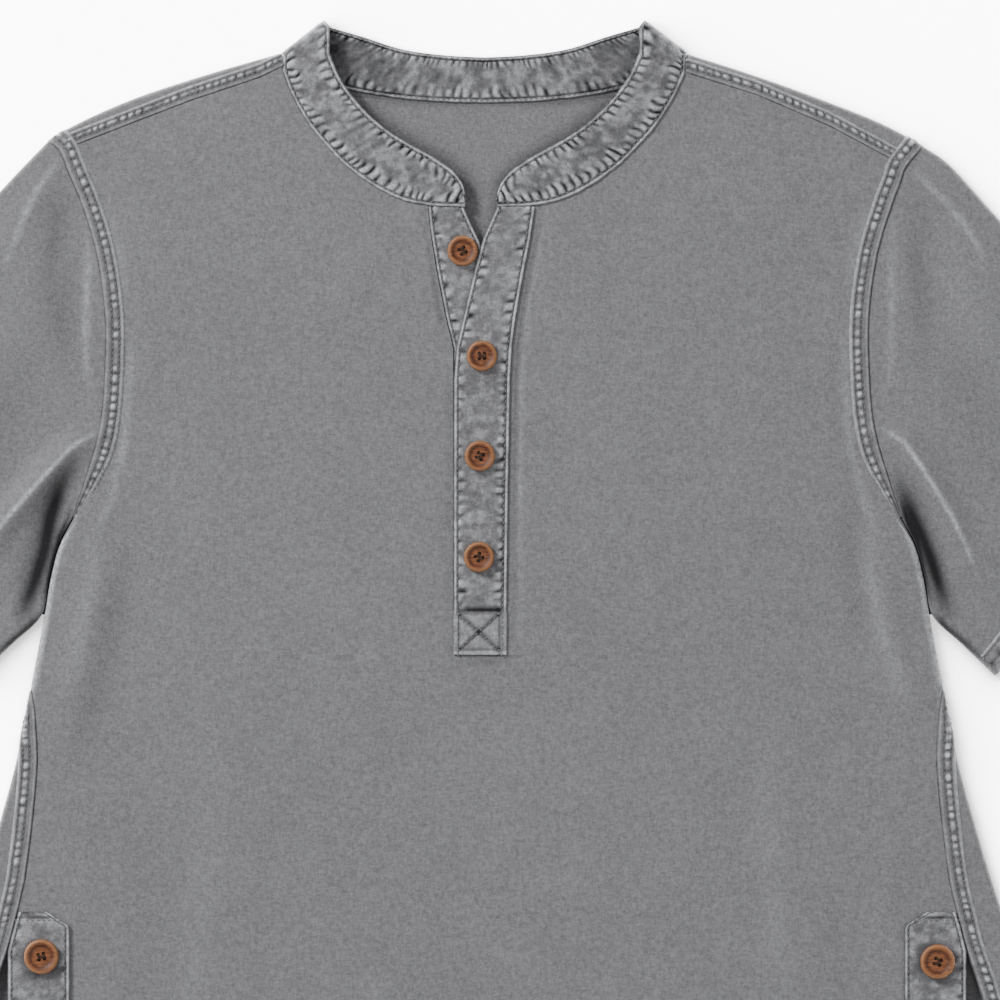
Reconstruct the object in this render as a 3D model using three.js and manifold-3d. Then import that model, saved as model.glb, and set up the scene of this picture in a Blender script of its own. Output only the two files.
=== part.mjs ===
// A short-sleeved henley shirt, laid flat on its back. Millimetres, +Z up, neck towards +Y.
// +X is the wearer's left. The origin is under the middle of the laid shirt.
import * as THREE from "three";
import { mergeVertices } from "three/addons/utils/BufferGeometryUtils.js";
import Module from "manifold-3d";

const wasm = await Module();
wasm.setup();

const RIGHT = -1;
const LEFT = 1;
const SIDES = [
  { side: RIGHT, word: "right" },
  { side: LEFT, word: "left" },
];

// Thicknesses and clearances
const CLOTH = 1.2;
const BAND_CLOTH = 1.8;
const SEAM_GAP = 0.3;
const LAID_HEIGHT = 5;
const FOLD_RADIUS = LAID_HEIGHT / 2;
const HALF_TURN = Math.PI * FOLD_RADIUS;

// Main sizes
const HEM_Y = -375;
const UNDERARM_Y = 101;
const VENT_TOP_Y = -137;
const VENT_EDGE_X = 263.5;
const FACING_WIDTH = 34;
const FACING_TOP_Y = -115;
const SLEEVE_FULLNESS = 1.1;

// The laid body's folded side edge: half width at each height, and the strip of back cloth
// that comes round the fold onto the front, from the edge to the side seam.
const BODY_EDGE = [
  { y: HEM_Y, half: 323, wrap: 28 },
  { y: -275, half: 319, wrap: 28 },
  { y: -215, half: 312.5, wrap: 28 },
  { y: -164, half: 301, wrap: 28 },
  { y: -131, half: 289, wrap: 26.7 },
  { y: -98, half: 277.8, wrap: 23.4 },
  { y: -65, half: 267.9, wrap: 17.8 },
  { y: -32, half: 259, wrap: 11.6 },
  { y: -5, half: 253.6, wrap: 5 },
  { y: 10, half: 250.8, wrap: 0 },
  { y: 46, half: 243.9, wrap: 0 },
  { y: 67, half: 240.5, wrap: 0 },
  { y: 86, half: 235.5, wrap: 0 },
  { y: UNDERARM_Y, half: 228, wrap: FOLD_RADIUS },
];

// Armhole seam from the underarm to the shoulder seam, the same on both sides
const ARMHOLE = [
  [228, UNDERARM_Y],
  [225, 110],
  [221, 122],
  [213, 150.7],
  [210.2, 180],
  [210, 213],
  [214.5, 246],
  [222.2, 272],
];

// Shoulders: the folded edge, and the seam that lies forward of it on the front.
// The right shoulder lies a little higher than the left.
const SHOULDER = {
  [RIGHT]: {
    tip: [241.5, 308.6],
    seamEnd: [235, 303],
    rows: [
      { x: 113.6, edge: 357, seam: 349.4 },
      { x: 125, edge: 353.8, seam: 343.8 },
      { x: 163, edge: 342.6, seam: 331.1 },
      { x: 197, edge: 331, seam: 318 },
      { x: 224, edge: 319, seam: 307.5 },
      { x: 235, edge: 313.1, seam: 303 },
      { x: 243, edge: 307.4, seam: 299.5 },
    ],
  },
  [LEFT]: {
    tip: [239.8, 305.8],
    seamEnd: [230.5, 294.3],
    rows: [
      { x: 110.8, edge: 356.4, seam: 346.1 },
      { x: 125, edge: 352, seam: 341.6 },
      { x: 148, edge: 344.5, seam: 334.4 },
      { x: 189, edge: 329.7, seam: 316.8 },
      { x: 218, edge: 317.9, seam: 301.2 },
      { x: 230.5, edge: 311.5, seam: 294.3 },
      { x: 242, edge: 303.9, seam: 288.5 },
    ],
  },
};

// Sleeve: top fold from the shoulder tip to the cuff, and the fold under the arm
const SLEEVE_TOP_FOLD = [
  [253, 297],
  [267.5, 281.6],
  [281.6, 265.8],
  [330, 214.6],
];
const CUFF_TOP = [406, 134.2];
const CUFF_BOTTOM = [279.4, 14.3];
const SLEEVE_UNDER_FOLD = [
  [236.3, 86],
  [241.3, 67],
  [245.3, 47.5],
  [262, 31.2],
];

// Collar band, half of it: the neck seam and the free top edge. The front part runs from the fold at
// the side of the neck to the front end; the back part from the middle of the back to the same fold.
// The band leans a little: its middle lies at topX by the fold and at endX by the front ends.
const COLLAR_CENTRE = { topX: -1.4, topY: 357, endX: -3.3, endY: 272 };
const COLLAR_FOLD = { seamX: 111.7, seamY: 356.7, edgeX: 88, edgeY: 375, lift: 9.2 };
const COLLAR_FRONT = [
  { seamX: 110, seamY: 347, edgeX: 85, edgeY: 356.4, lift: 9.4 },
  { seamX: 105, seamY: 334.7, edgeX: 79, edgeY: 343, lift: 9.4 },
  { seamX: 96.2, seamY: 319.6, edgeX: 70, edgeY: 330.6, lift: 9.2 },
  { seamX: 85.2, seamY: 306.4, edgeX: 60, edgeY: 320.4, lift: 9 },
  { seamX: 73.7, seamY: 295, edgeX: 48.7, edgeY: 311.9, lift: 8.7 },
  { seamX: 57.8, seamY: 283.8, edgeX: 37.7, edgeY: 305.5, lift: 8.4 },
  { seamX: 41.8, seamY: 276.4, edgeX: 27.5, edgeY: 300, lift: 8 },
  { seamX: 26, seamY: 273.4, edgeX: 16.2, edgeY: 292.3, lift: 7.5 },
  { seamX: 15.7, seamY: 272.8, edgeX: 10.7, edgeY: 285.5, lift: 7 },
  { seamX: 9, seamY: 272.3, edgeX: 8.6, edgeY: 278.9, lift: 6.5 },
];
const COLLAR_BACK = [
  { seamX: 0, seamY: 330.5, edgeX: 0, edgeY: 354.8 },
  { seamX: 35, seamY: 332, edgeX: 22, edgeY: 356 },
  { seamX: 70, seamY: 337, edgeX: 45, edgeY: 359.2 },
  { seamX: 99, seamY: 346.5, edgeX: 67.6, edgeY: 366.3 },
];
const COLLAR_FOOT = { seamX: 112, seamY: 353.6 };
const COLLAR_SEAM_RISE = 0.6;
const COLLAR_CROWN = 0.5;
const COLLAR_COLUMNS = 4;
const COLLAR_TURN_SHARES = [1, 0.7, 0.4, 0.1, -0.2, -0.5, -0.8, -1];
const BACK_NECK_GAP = 1.5 * SEAM_GAP;

// Placket: the upper strip lies over the lower one, and both lean apart into the open neck
const PLACKET_BOTTOM_Y = 26;
const PLACKET_LEFT_X = -18.4;
const WINDOW_TOP = { left: -33, right: 27, y: 280 };
const OVERLAP = {
  rise: 0.8,
  rows: [
    { y: PLACKET_BOTTOM_Y, left: PLACKET_LEFT_X, right: 10.6 },
    { y: 110, left: PLACKET_LEFT_X, right: 11.6 },
    { y: 177, left: -18.2, right: 12.8 },
    { y: 195, left: -17, right: 13.8 },
    { y: 211, left: -13.2, right: 15.8 },
    { y: 236, left: -7.3, right: 20.2 },
    { y: 255, left: -2.2, right: 24 },
    { y: 271.4, left: 5.2, right: 26.4 },
  ],
};
const UNDERLAP = {
  rows: [
    { y: PLACKET_BOTTOM_Y + 1, left: -17.6, right: 8, rise: -1.2 },
    { y: 110, left: -17.6, right: 8, rise: -1.2 },
    { y: 195, left: -18.6, right: 7, rise: -1.2 },
    { y: 211, left: -22.6, right: 6, rise: -1.1 },
    { y: 236, left: -27.5, right: 1.5, rise: -0.9 },
    { y: 254, left: -30.4, right: -4.4, rise: -0.4 },
    { y: 262, left: -31.5, right: -8.3, rise: 0.1 },
    { y: 271.4, left: -32.4, right: -12.6, rise: 0.3 },
  ],
};

// Buttons
const FRONT_BUTTON = { radius: 8.4, thickness: 3.2 };
const VENT_BUTTON = { radius: 9.6, thickness: 3.4 };
const BUTTON_SEAT = 0.35;
const FRONT_BUTTONS = [
  { name: "button_1", x: -13.4, y: 248.1, on: "underlap" },
  { name: "button_2", x: -2.8, y: 190.3, on: "overlap" },
  { name: "button_3", x: -3.9, y: 135.3, on: "overlap" },
  { name: "button_4", x: -4.4, y: 79.8, on: "overlap" },
];
const VENT_BUTTON_PLACE = {
  [RIGHT]: [-244.8, -139.7],
  [LEFT]: [247.5, -142.5],
};

// The largest soft folds of the laid cloth. A ridge has a height above the laid cloth, and a hollow a
// height below it. Each runs along its points and dies out at both ends.
const BOTH = 0;
const FOLDS = [
  { on: LEFT, width: 7, height: 5, path: [[214, 150], [229.4, 142.5], [241.5, 124.9], [255.2, 102.3], [266, 80]] },
  { on: RIGHT, width: 8, height: 5, path: [[214, 149], [228.8, 139.7], [247, 119.9], [267.9, 96.3], [280, 78]] },
  { on: BOTH, width: 7, height: -1.4, path: [[220.6, 133], [236, 110], [248, 82], [254, 59.4], [259, 45]] },
  { on: LEFT, width: 14, height: -0.9, path: [[208, 150], [203.5, 123.2], [199.1, 87.5], [204.6, 48.4], [212, 10]] },
  { on: LEFT, width: 11, height: 1.8, path: [[214, 104], [215, 76.5], [219, 42.9], [228.3, 8.8], [232, -20]] },
  { on: RIGHT, width: 14, height: -0.9, path: [[192, 110], [194.7, 87.5], [202, 55], [209, 20], [222, -37]] },
  { on: RIGHT, width: 11, height: 1.8, path: [[214, 96], [217, 60], [224, 20], [229, -10], [233, -40]] },
  { on: BOTH, width: 9, height: 1.4, path: [[235, 297], [252.5, 275], [265.5, 250], [275, 222]] },
  { on: LEFT, width: 16, height: 1.5, path: [[300, 215], [322, 150], [338, 98]] },
  { on: RIGHT, width: 17, height: 1.3, path: [[306, 190], [330, 136], [352, 96]] },
  { on: BOTH, width: 13, height: -0.8, path: [[256, 220], [292, 160], [318, 108]] },
  { on: LEFT, width: 24, height: 1.5, path: [[150, -210], [157, -300], [161, -390]] },
  { on: RIGHT, width: 26, height: 1.6, path: [[166, -190], [176, -290], [182, -390]] },
  { on: BOTH, width: 26, height: -0.8, path: [[205, -235], [214, -310], [220, -390]] },
  { on: RIGHT, width: 28, height: 1.2, path: [[52, -245], [56, -310], [58, -390]] },
  { on: LEFT, width: 24, height: 1.1, path: [[74, -260], [78, -320], [80, -390]] },
];

const CLOTH_COLOUR = 0x828283;
const BAND_COLOUR = 0x8b8b8c;
const BUTTON_COLOUR = 0x8a5230;

const mix = (from, to, share) => from + (to - from) * share;
const smooth = (share) => share * share * (3 - 2 * share);

// The value of one column of a table at a place along it, on a smooth curve through its rows
function alongTable(rows, key, column, place) {
  const last = rows.length - 1;
  const inside = Math.min(Math.max(place, rows[0][key]), rows[last][key]);
  let i = 0;
  while (i < last - 1 && rows[i + 1][key] < inside) i += 1;
  const slopeAt = (k) => {
    const before = rows[Math.max(k - 1, 0)];
    const after = rows[Math.min(k + 1, last)];
    return (after[column] - before[column]) / (after[key] - before[key]);
  };
  const length = rows[i + 1][key] - rows[i][key];
  const t = (inside - rows[i][key]) / length;
  const rise = smooth(t);
  return (
    mix(rows[i][column], rows[i + 1][column], rise) +
    slopeAt(i) * length * (t * t * t - 2 * t * t + t) +
    slopeAt(i + 1) * length * (t * t * t - t * t)
  );
}

// The same on straight lines between the rows, for places where a line must not swing past its rows
function alongLine(rows, key, column, place) {
  const last = rows.length - 1;
  const inside = Math.min(Math.max(place, rows[0][key]), rows[last][key]);
  let i = 0;
  while (i < last - 1 && rows[i + 1][key] < inside) i += 1;
  const t = (inside - rows[i][key]) / (rows[i + 1][key] - rows[i][key]);
  return mix(rows[i][column], rows[i + 1][column], t);
}

// How far a point is from a fold's path, and how far along the path its nearest point is, from 0 to 1
function nearPath(path, x, y) {
  let nearest = { distance: Infinity, along: 0 };
  for (let i = 0; i + 1 < path.length; i += 1) {
    const [ax, ay] = path[i];
    const [bx, by] = path[i + 1];
    const lengthSquared = (bx - ax) ** 2 + (by - ay) ** 2;
    const raw = ((x - ax) * (bx - ax) + (y - ay) * (by - ay)) / lengthSquared;
    const t = Math.min(Math.max(raw, 0), 1);
    const distance = Math.hypot(x - mix(ax, bx, t), y - mix(ay, by, t));
    if (distance < nearest.distance) nearest = { distance, along: (i + t) / (path.length - 1) };
  }
  return nearest;
}

// Top of the laid cloth at a place
function clothTop(x, y) {
  const side = x < 0 ? RIGHT : LEFT;
  let height = LAID_HEIGHT;
  for (const fold of FOLDS) {
    if (fold.on !== BOTH && fold.on !== side) continue;
    const { distance, along } = nearPath(fold.path, Math.abs(x), y);
    const across = Math.exp(-((distance / fold.width) ** 2));
    const ends = Math.sin(Math.PI * Math.min(Math.max(along, 0.06), 0.94));
    height += fold.height * across * ends;
  }
  return height;
}

// A wall of cloth: an outer face given as rows of points, and an inner face behind it. The outer face
// looks along (next column) x (next row), or the other way round where it is turned. A ring's last
// column joins its first.
function clothWall(rows, wall, { ring = false, turned = false } = {}) {
  const rowCount = rows.length;
  const columnCount = rows[0].length;
  const sign = turned ? -1 : 1;
  const column = (j) => {
    if (ring) return (j + columnCount) % columnCount;
    return Math.min(Math.max(j, 0), columnCount - 1);
  };
  const row = (i) => Math.min(Math.max(i, 0), rowCount - 1);
  // Twice the step across a row; at its two ends the step is that of the curve through three points
  const stepAcross = (line, j) => {
    if (ring || (j > 0 && j < columnCount - 1)) return line[column(j + 1)].clone().sub(line[column(j - 1)]);
    const inwards = j === 0 ? 1 : -1;
    const near = line[j + inwards].clone().sub(line[j]).multiplyScalar(4);
    const far = line[j + 2 * inwards].clone().sub(line[j]);
    return near.sub(far).multiplyScalar(inwards);
  };
  const outer = [];
  const inner = [];
  for (let i = 0; i < rowCount; i += 1) {
    for (let j = 0; j < columnCount; j += 1) {
      const across = stepAcross(rows[i], j);
      const along = rows[row(i + 1)][j].clone().sub(rows[row(i - 1)][j]);
      const normal = across.cross(along).normalize().multiplyScalar(sign * wall);
      outer.push(rows[i][j]);
      inner.push(rows[i][j].clone().sub(normal));
    }
  }
  const points = [...outer, ...inner];
  const behind = outer.length;
  const faces = [];
  const quad = (a, b, c, d) => {
    if (turned) faces.push(a, c, b, a, d, c);
    else faces.push(a, b, c, a, c, d);
  };
  const at = (i, j) => i * columnCount + column(j);
  const columnSteps = ring ? columnCount : columnCount - 1;
  for (let i = 0; i + 1 < rowCount; i += 1) {
    for (let j = 0; j < columnSteps; j += 1) {
      const corners = [at(i, j), at(i, j + 1), at(i + 1, j + 1), at(i + 1, j)];
      quad(...corners);
      quad(...corners.map((k) => k + behind).reverse());
    }
  }
  for (let j = 0; j < columnSteps; j += 1) {
    const first = [at(0, j), at(0, j + 1)];
    const last = [at(rowCount - 1, j), at(rowCount - 1, j + 1)];
    quad(first[1], first[0], first[0] + behind, first[1] + behind);
    quad(last[0], last[1], last[1] + behind, last[0] + behind);
  }
  if (!ring) {
    for (let i = 0; i + 1 < rowCount; i += 1) {
      const first = [at(i, 0), at(i + 1, 0)];
      const last = [at(i, columnCount - 1), at(i + 1, columnCount - 1)];
      quad(first[0], first[1], first[1] + behind, first[0] + behind);
      quad(last[1], last[0], last[0] + behind, last[1] + behind);
    }
  }
  const geometry = new THREE.BufferGeometry();
  geometry.setAttribute("position", new THREE.Float32BufferAttribute(points.flatMap((p) => p.toArray()), 3));
  geometry.setIndex(faces);
  return geometry;
}

// Joining and cutting
function solidOf(geometry) {
  const bare = geometry.clone();
  bare.deleteAttribute("normal");
  bare.deleteAttribute("uv");
  const merged = mergeVertices(bare, 1e-4);
  return new wasm.Manifold(
    new wasm.Mesh({
      numProp: 3,
      vertProperties: merged.getAttribute("position").array,
      triVerts: new Uint32Array(merged.index.array),
    }),
  );
}

function geometryOf(solid) {
  const mesh = solid.getMesh();
  const geometry = new THREE.BufferGeometry();
  geometry.setAttribute("position", new THREE.BufferAttribute(mesh.vertProperties, 3));
  geometry.setIndex(new THREE.BufferAttribute(mesh.triVerts, 1));
  return geometry;
}

// A flat piece of a given outline, from one height to another
function slab(outline, low, high) {
  const shape = new THREE.Shape(outline.map(([x, y]) => new THREE.Vector2(x, y)));
  const geometry = new THREE.ExtrudeGeometry(shape, { depth: high - low, bevelEnabled: false });
  return solidOf(geometry.translate(0, 0, low));
}

const CUT_LOW = -5;
const CUT_HIGH = 40;
const through = (outline) => slab(outline, CUT_LOW, CUT_HIGH);

const smoothLine = (points, count) =>
  new THREE.SplineCurve(points.map(([x, y]) => new THREE.Vector2(x, y)))
    .getSpacedPoints(count)
    .map((p) => [p.x, p.y]);

// Armhole from the underarm up to the shoulder's tip, x counted outwards from the middle
const ARMHOLE_STEPS = 40;
const LAST_POINT_SHARE = 0.62;
function armholeLine(side) {
  const { tip, seamEnd } = SHOULDER[side];
  const last = ARMHOLE.at(-1).map((value, axis) => mix(value, seamEnd[axis], LAST_POINT_SHARE));
  return smoothLine([...ARMHOLE, last, seamEnd, tip], ARMHOLE_STEPS);
}
const ARMHOLES = { [RIGHT]: armholeLine(RIGHT), [LEFT]: armholeLine(LEFT) };

// The front's outer edge above the underarm: the armhole, then the shoulder seam and a little past it
const sideTable = (side) => [
  ...ARMHOLES[side].filter(([, y]) => y < SHOULDER[side].seamEnd[1] - 1).map(([x, y]) => ({ x, y })),
  ...SHOULDER[side].rows
    .filter((place) => place.x <= SHOULDER[side].seamEnd[0])
    .map((place) => ({ x: place.x, y: place.seam }))
    .reverse(),
  { x: SHOULDER[side].rows[0].x - 10, y: SHOULDER[side].rows[0].seam + 4 },
];
const UPPER_EDGE = { [RIGHT]: sideTable(RIGHT), [LEFT]: sideTable(LEFT) };

const halfWidth = (y) => alongTable(BODY_EDGE, "y", "half", y);

// Length of back cloth round the side fold, from where it leaves the ground to the side seam
function seamReach(y) {
  const wrap = alongLine(BODY_EDGE, "y", "wrap", y);
  if (wrap >= FOLD_RADIUS) return HALF_TURN + wrap - FOLD_RADIUS;
  return FOLD_RADIUS * (Math.PI / 2 + Math.acos(1 - wrap / FOLD_RADIUS));
}

// A point of a folded edge's outer face: how far in from the edge, and how high
function roundFold(reach, top) {
  if (reach < 0) return { inset: FOLD_RADIUS - reach, height: 0 };
  if (reach > HALF_TURN) return { inset: FOLD_RADIUS + reach - HALF_TURN, height: top };
  const angle = reach / FOLD_RADIUS - Math.PI / 2;
  return {
    inset: FOLD_RADIUS * (1 - Math.cos(angle)),
    height: (top * (1 + Math.sin(angle))) / 2,
  };
}

function onBodySide(side, reach, y) {
  const { inset } = roundFold(reach, 0);
  const x = side * (halfWidth(y) - inset);
  return new THREE.Vector3(x, y, roundFold(reach, clothTop(x, y)).height);
}

// Steps of a folded strip: a lap on the ground sheet, then steps that are closer together round the fold
const FOLD_STEPS = 7;
const FOLD_CROWDING = 1.5;
const GROUND_LAP = 14;
const foldReaches = (end) => [
  -GROUND_LAP,
  ...Array.from({ length: FOLD_STEPS + 1 }, (_, k) => end * (k / FOLD_STEPS) ** FOLD_CROWDING),
];

const spread = (from, to, step) => {
  const count = Math.max(Math.round(Math.abs(to - from) / step), 1);
  return Array.from({ length: count + 1 }, (_, k) => mix(from, to, k / count));
};

// Heights of the body's sections from the hem to the underarm, shared by the front and the back
const BODY_HEIGHTS = [
  ...spread(HEM_Y, -165, 30), VENT_TOP_Y, -118, -98, -81, -65, -48, -32, -18, -5, 2, 10,
  28, 46, 67, 80, 86, 91, 96, UNDERARM_Y,
];
const SHOULDER_STEP = 13;

// Half of the gap at the side seam, wider where the seam turns over the fold under the arm
const SEAM_TURN_Y = 80;
const sideSeamGap = (y) => (y > SEAM_TURN_Y ? 2 * SEAM_GAP : SEAM_GAP / 2);

function sideFold(side) {
  const rows = BODY_HEIGHTS.map((y) => {
    const end = seamReach(y) - sideSeamGap(y);
    return foldReaches(end).map((reach) => onBodySide(side, reach, y));
  });
  return solidOf(clothWall(rows, CLOTH, { turned: side === LEFT }));
}

function shoulderFold(side) {
  const places = SHOULDER[side].rows;
  const rows = spread(places[0].x, places.at(-1).x, SHOULDER_STEP).map((x) => {
    const edge = alongTable(places, "x", "edge", x);
    const seam = alongLine(places, "x", "seam", x);
    const end = HALF_TURN + edge - seam - FOLD_RADIUS - SEAM_GAP / 2;
    return foldReaches(end).map((reach) => {
      const y = edge - roundFold(reach, 0).inset;
      return new THREE.Vector3(side * x, y, roundFold(reach, clothTop(side * x, y)).height);
    });
  });
  return solidOf(clothWall(rows, CLOTH, { turned: side === RIGHT }));
}

const mirrored = (points, side) => points.map(([x, y]) => [side * x, y]);
function collarCentre(y) {
  const { topX, topY, endX, endY } = COLLAR_CENTRE;
  return mix(endX, topX, Math.min(Math.max((y - endY) / (topY - endY), 0), 1));
}

// Half of the back neck seam, from the middle of the back out to where the collar's fold meets the ground
function backNeck(side, gap) {
  const rows = [...COLLAR_BACK, COLLAR_FOOT].map((row) => [side * row.seamX + COLLAR_CENTRE.topX, row.seamY - gap]);
  return smoothLine(rows, 12);
}

// Half of the front neck seam, from the fold down to the front end
function frontNeck(side, gap) {
  const rows = [COLLAR_FOLD, ...COLLAR_FRONT].map((row) => [
    side * (row.seamX + gap) + collarCentre(row.seamY),
    row.seamY - gap,
  ]);
  return smoothLine(rows, 24);
}

// The flat sheet of the back ends this far inside the folds, which lap over it
const GROUND_MARGIN = 1;
// Cuts run out to here, well past the shirt
const FAR_X = 500;
const FAR_Y = 420;

function makeBack() {
  const inset = FOLD_RADIUS + GROUND_MARGIN;
  const edgeOf = (side) => {
    const body = spread(HEM_Y, UNDERARM_Y - GROUND_LAP, 20).map((y) => [halfWidth(y) - inset, y]);
    const shoulder = SHOULDER[side].rows.map((place) => [place.x, place.edge - inset]).reverse();
    return mirrored([...body, ...ARMHOLES[side].slice(0, -3), ...shoulder], side);
  };
  const neck = [...backNeck(RIGHT, BACK_NECK_GAP).reverse(), ...backNeck(LEFT, BACK_NECK_GAP).slice(1)];
  const outline = [...edgeOf(LEFT), ...neck.reverse(), ...edgeOf(RIGHT).reverse()];
  let back = slab(outline, 0, CLOTH);
  for (const { side } of SIDES) {
    back = back.add(sideFold(side)).add(shoulderFold(side));
    const armhole = ARMHOLES[side].map(([x, y]) => [x - SEAM_GAP / 2, y]);
    const tip = armhole.at(-1);
    const beyond = [...armhole, [tip[0], FAR_Y], [FAR_X, FAR_Y], [FAR_X, UNDERARM_Y]];
    back = back.subtract(through(mirrored(beyond, side)));
  }
  return geometryOf(back);
}

// Front: sections across the body from edge to edge, then the neck and the placket cut out. A section
// has four steps from its edge, then points at these shares of the way to the middle.
const EDGE_STEPS = [0, 1.4, 2.8, 4.2];
const INWARD_SHARES = [0.035, 0.085, 0.16, 0.26, 0.37, 0.49, 0.61, 0.74, 0.87];
const FRONT_HEIGHTS = [
  ...BODY_HEIGHTS, UNDERARM_Y + 2, 112, ...spread(126, 286, 20),
  SHOULDER[LEFT].seamEnd[1], SHOULDER[RIGHT].seamEnd[1], ...spread(313, 343, 10), 346, 348.5,
];

function frontHalfRow(side, y) {
  const pointAt = (x) => new THREE.Vector3(side * x, y, clothTop(side * x, y));
  let edge;
  if (y <= UNDERARM_Y && y > VENT_TOP_Y) {
    const start = seamReach(y) + sideSeamGap(y);
    edge = EDGE_STEPS.map((step) => onBodySide(side, start + step, y));
  } else {
    const seamX = y <= VENT_TOP_Y ? VENT_EDGE_X : alongLine(UPPER_EDGE[side], "y", "x", y) - SEAM_GAP / 2;
    edge = EDGE_STEPS.map((step) => pointAt(seamX - step));
  }
  const innermost = Math.abs(edge.at(-1).x);
  return [...edge, ...INWARD_SHARES.map((share) => pointAt(innermost * (1 - share)))];
}

function placketWindow() {
  const right = OVERLAP.rows.map((row) => [row.right + SEAM_GAP, row.y]);
  const left = UNDERLAP.rows.map((row) => [Math.min(row.left, PLACKET_LEFT_X) - SEAM_GAP, row.y]);
  const top = [[WINDOW_TOP.right, WINDOW_TOP.y], [WINDOW_TOP.left, WINDOW_TOP.y]];
  const bottom = PLACKET_BOTTOM_Y - SEAM_GAP;
  right[0][1] = bottom;
  left[0][1] = bottom;
  return through([...right, ...top, ...left.reverse()]);
}

function neckOpening() {
  const outline = [...frontNeck(LEFT, SEAM_GAP), ...frontNeck(RIGHT, SEAM_GAP).reverse()];
  const left = outline[0];
  const right = outline.at(-1);
  return through([...outline, [right[0], FAR_Y], [left[0], FAR_Y]].reverse());
}

function makeFront() {
  const rows = FRONT_HEIGHTS.map((y) => {
    const middle = new THREE.Vector3(0, y, clothTop(0, y));
    return [...frontHalfRow(RIGHT, y), middle, ...frontHalfRow(LEFT, y).reverse()];
  });
  const whole = solidOf(clothWall(rows, CLOTH));
  return geometryOf(whole.subtract(neckOpening()).subtract(placketWindow()));
}

// Sleeve: rings from the armhole to the cuff, each round both layers of the laid tube
const SLEEVE_RINGS = 12;
const SLEEVE_TOP_STEPS = 13;
const SLEEVE_GROUND_STEPS = 5;
const NOSE_ANGLES = [60, 30, 0, -30, -60].map((angle) => (angle * Math.PI) / 180);

function makeSleeve(side) {
  const curve = (points) => new THREE.SplineCurve(points.map(([x, y]) => new THREE.Vector2(x, y)));
  const shift = (points) => points.map(([x, y]) => [x + SEAM_GAP, y]);
  const armhole = curve(shift([...ARMHOLES[side]].reverse()));
  const tip = shift([ARMHOLES[side].at(-1)])[0];
  const underarm = shift([ARMHOLES[side][0]])[0];
  const topFold = curve([tip, ...SLEEVE_TOP_FOLD, CUFF_TOP]);
  const underFold = curve([underarm, ...SLEEVE_UNDER_FOLD, CUFF_BOTTOM]);
  const cuff = curve([CUFF_TOP, CUFF_BOTTOM]);
  const corners = [tip, underarm, CUFF_TOP, CUFF_BOTTOM].map(([x, y]) => new THREE.Vector2(x, y));

  const plan = (out, down) => {
    const point = new THREE.Vector2();
    point.addScaledVector(armhole.getPointAt(down), 1 - out);
    point.addScaledVector(cuff.getPointAt(down), out);
    point.addScaledVector(topFold.getPointAt(out), 1 - down);
    point.addScaledVector(underFold.getPointAt(out), down);
    point.addScaledVector(corners[0], -(1 - out) * (1 - down));
    point.addScaledVector(corners[1], -(1 - out) * down);
    point.addScaledVector(corners[2], -out * (1 - down));
    point.addScaledVector(corners[3], -out * down);
    return point;
  };

  const ring = (out) => {
    const start = plan(out, 0);
    const end = plan(out, 1);
    const span = start.distanceTo(end);
    const margin = FOLD_RADIUS / span;
    const top = (point, down) => {
      const fullness = SLEEVE_FULLNESS * Math.sin(Math.PI * down) * smooth(Math.min(out * 2.5, 1));
      return clothTop(side * point.x, point.y) + fullness;
    };
    const place = (down, height) => {
      const point = plan(out, down);
      return new THREE.Vector3(side * point.x, point.y, height(point));
    };
    const nose = (edge, angles) =>
      angles.map((angle) => {
        const inset = margin * (1 - Math.cos(angle));
        const down = edge === 0 ? inset : 1 - inset;
        return place(down, (point) => (top(point, down) * (1 + Math.sin(angle))) / 2);
      });
    const share = (k, count) => mix(margin, 1 - margin, k / (count - 1));
    const upper = Array.from({ length: SLEEVE_TOP_STEPS }, (_, k) => share(k, SLEEVE_TOP_STEPS));
    const ground = Array.from({ length: SLEEVE_GROUND_STEPS }, (_, k) => share(k, SLEEVE_GROUND_STEPS));
    return [
      ...upper.map((down) => place(down, (point) => top(point, down))),
      ...nose(1, NOSE_ANGLES),
      ...ground.reverse().map((down) => place(down, () => 0)),
      ...nose(0, [...NOSE_ANGLES].reverse()),
    ];
  };

  const rows = Array.from({ length: SLEEVE_RINGS }, (_, k) => ring(k / (SLEEVE_RINGS - 1)));
  return clothWall(rows, CLOTH, { ring: true, turned: side === RIGHT });
}

// Collar: rows across the band, from one front end round the back of the neck to the other front end.
// The outer face looks up at the front and lies on the ground at the back.
function collarRow(seam, edge) {
  return Array.from({ length: COLLAR_COLUMNS + 1 }, (_, k) => {
    const share = k / COLLAR_COLUMNS;
    const point = seam.clone().lerp(edge, share);
    if (seam.z > 0) point.z += COLLAR_CROWN * Math.sin(Math.PI * share);
    return point;
  });
}

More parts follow.
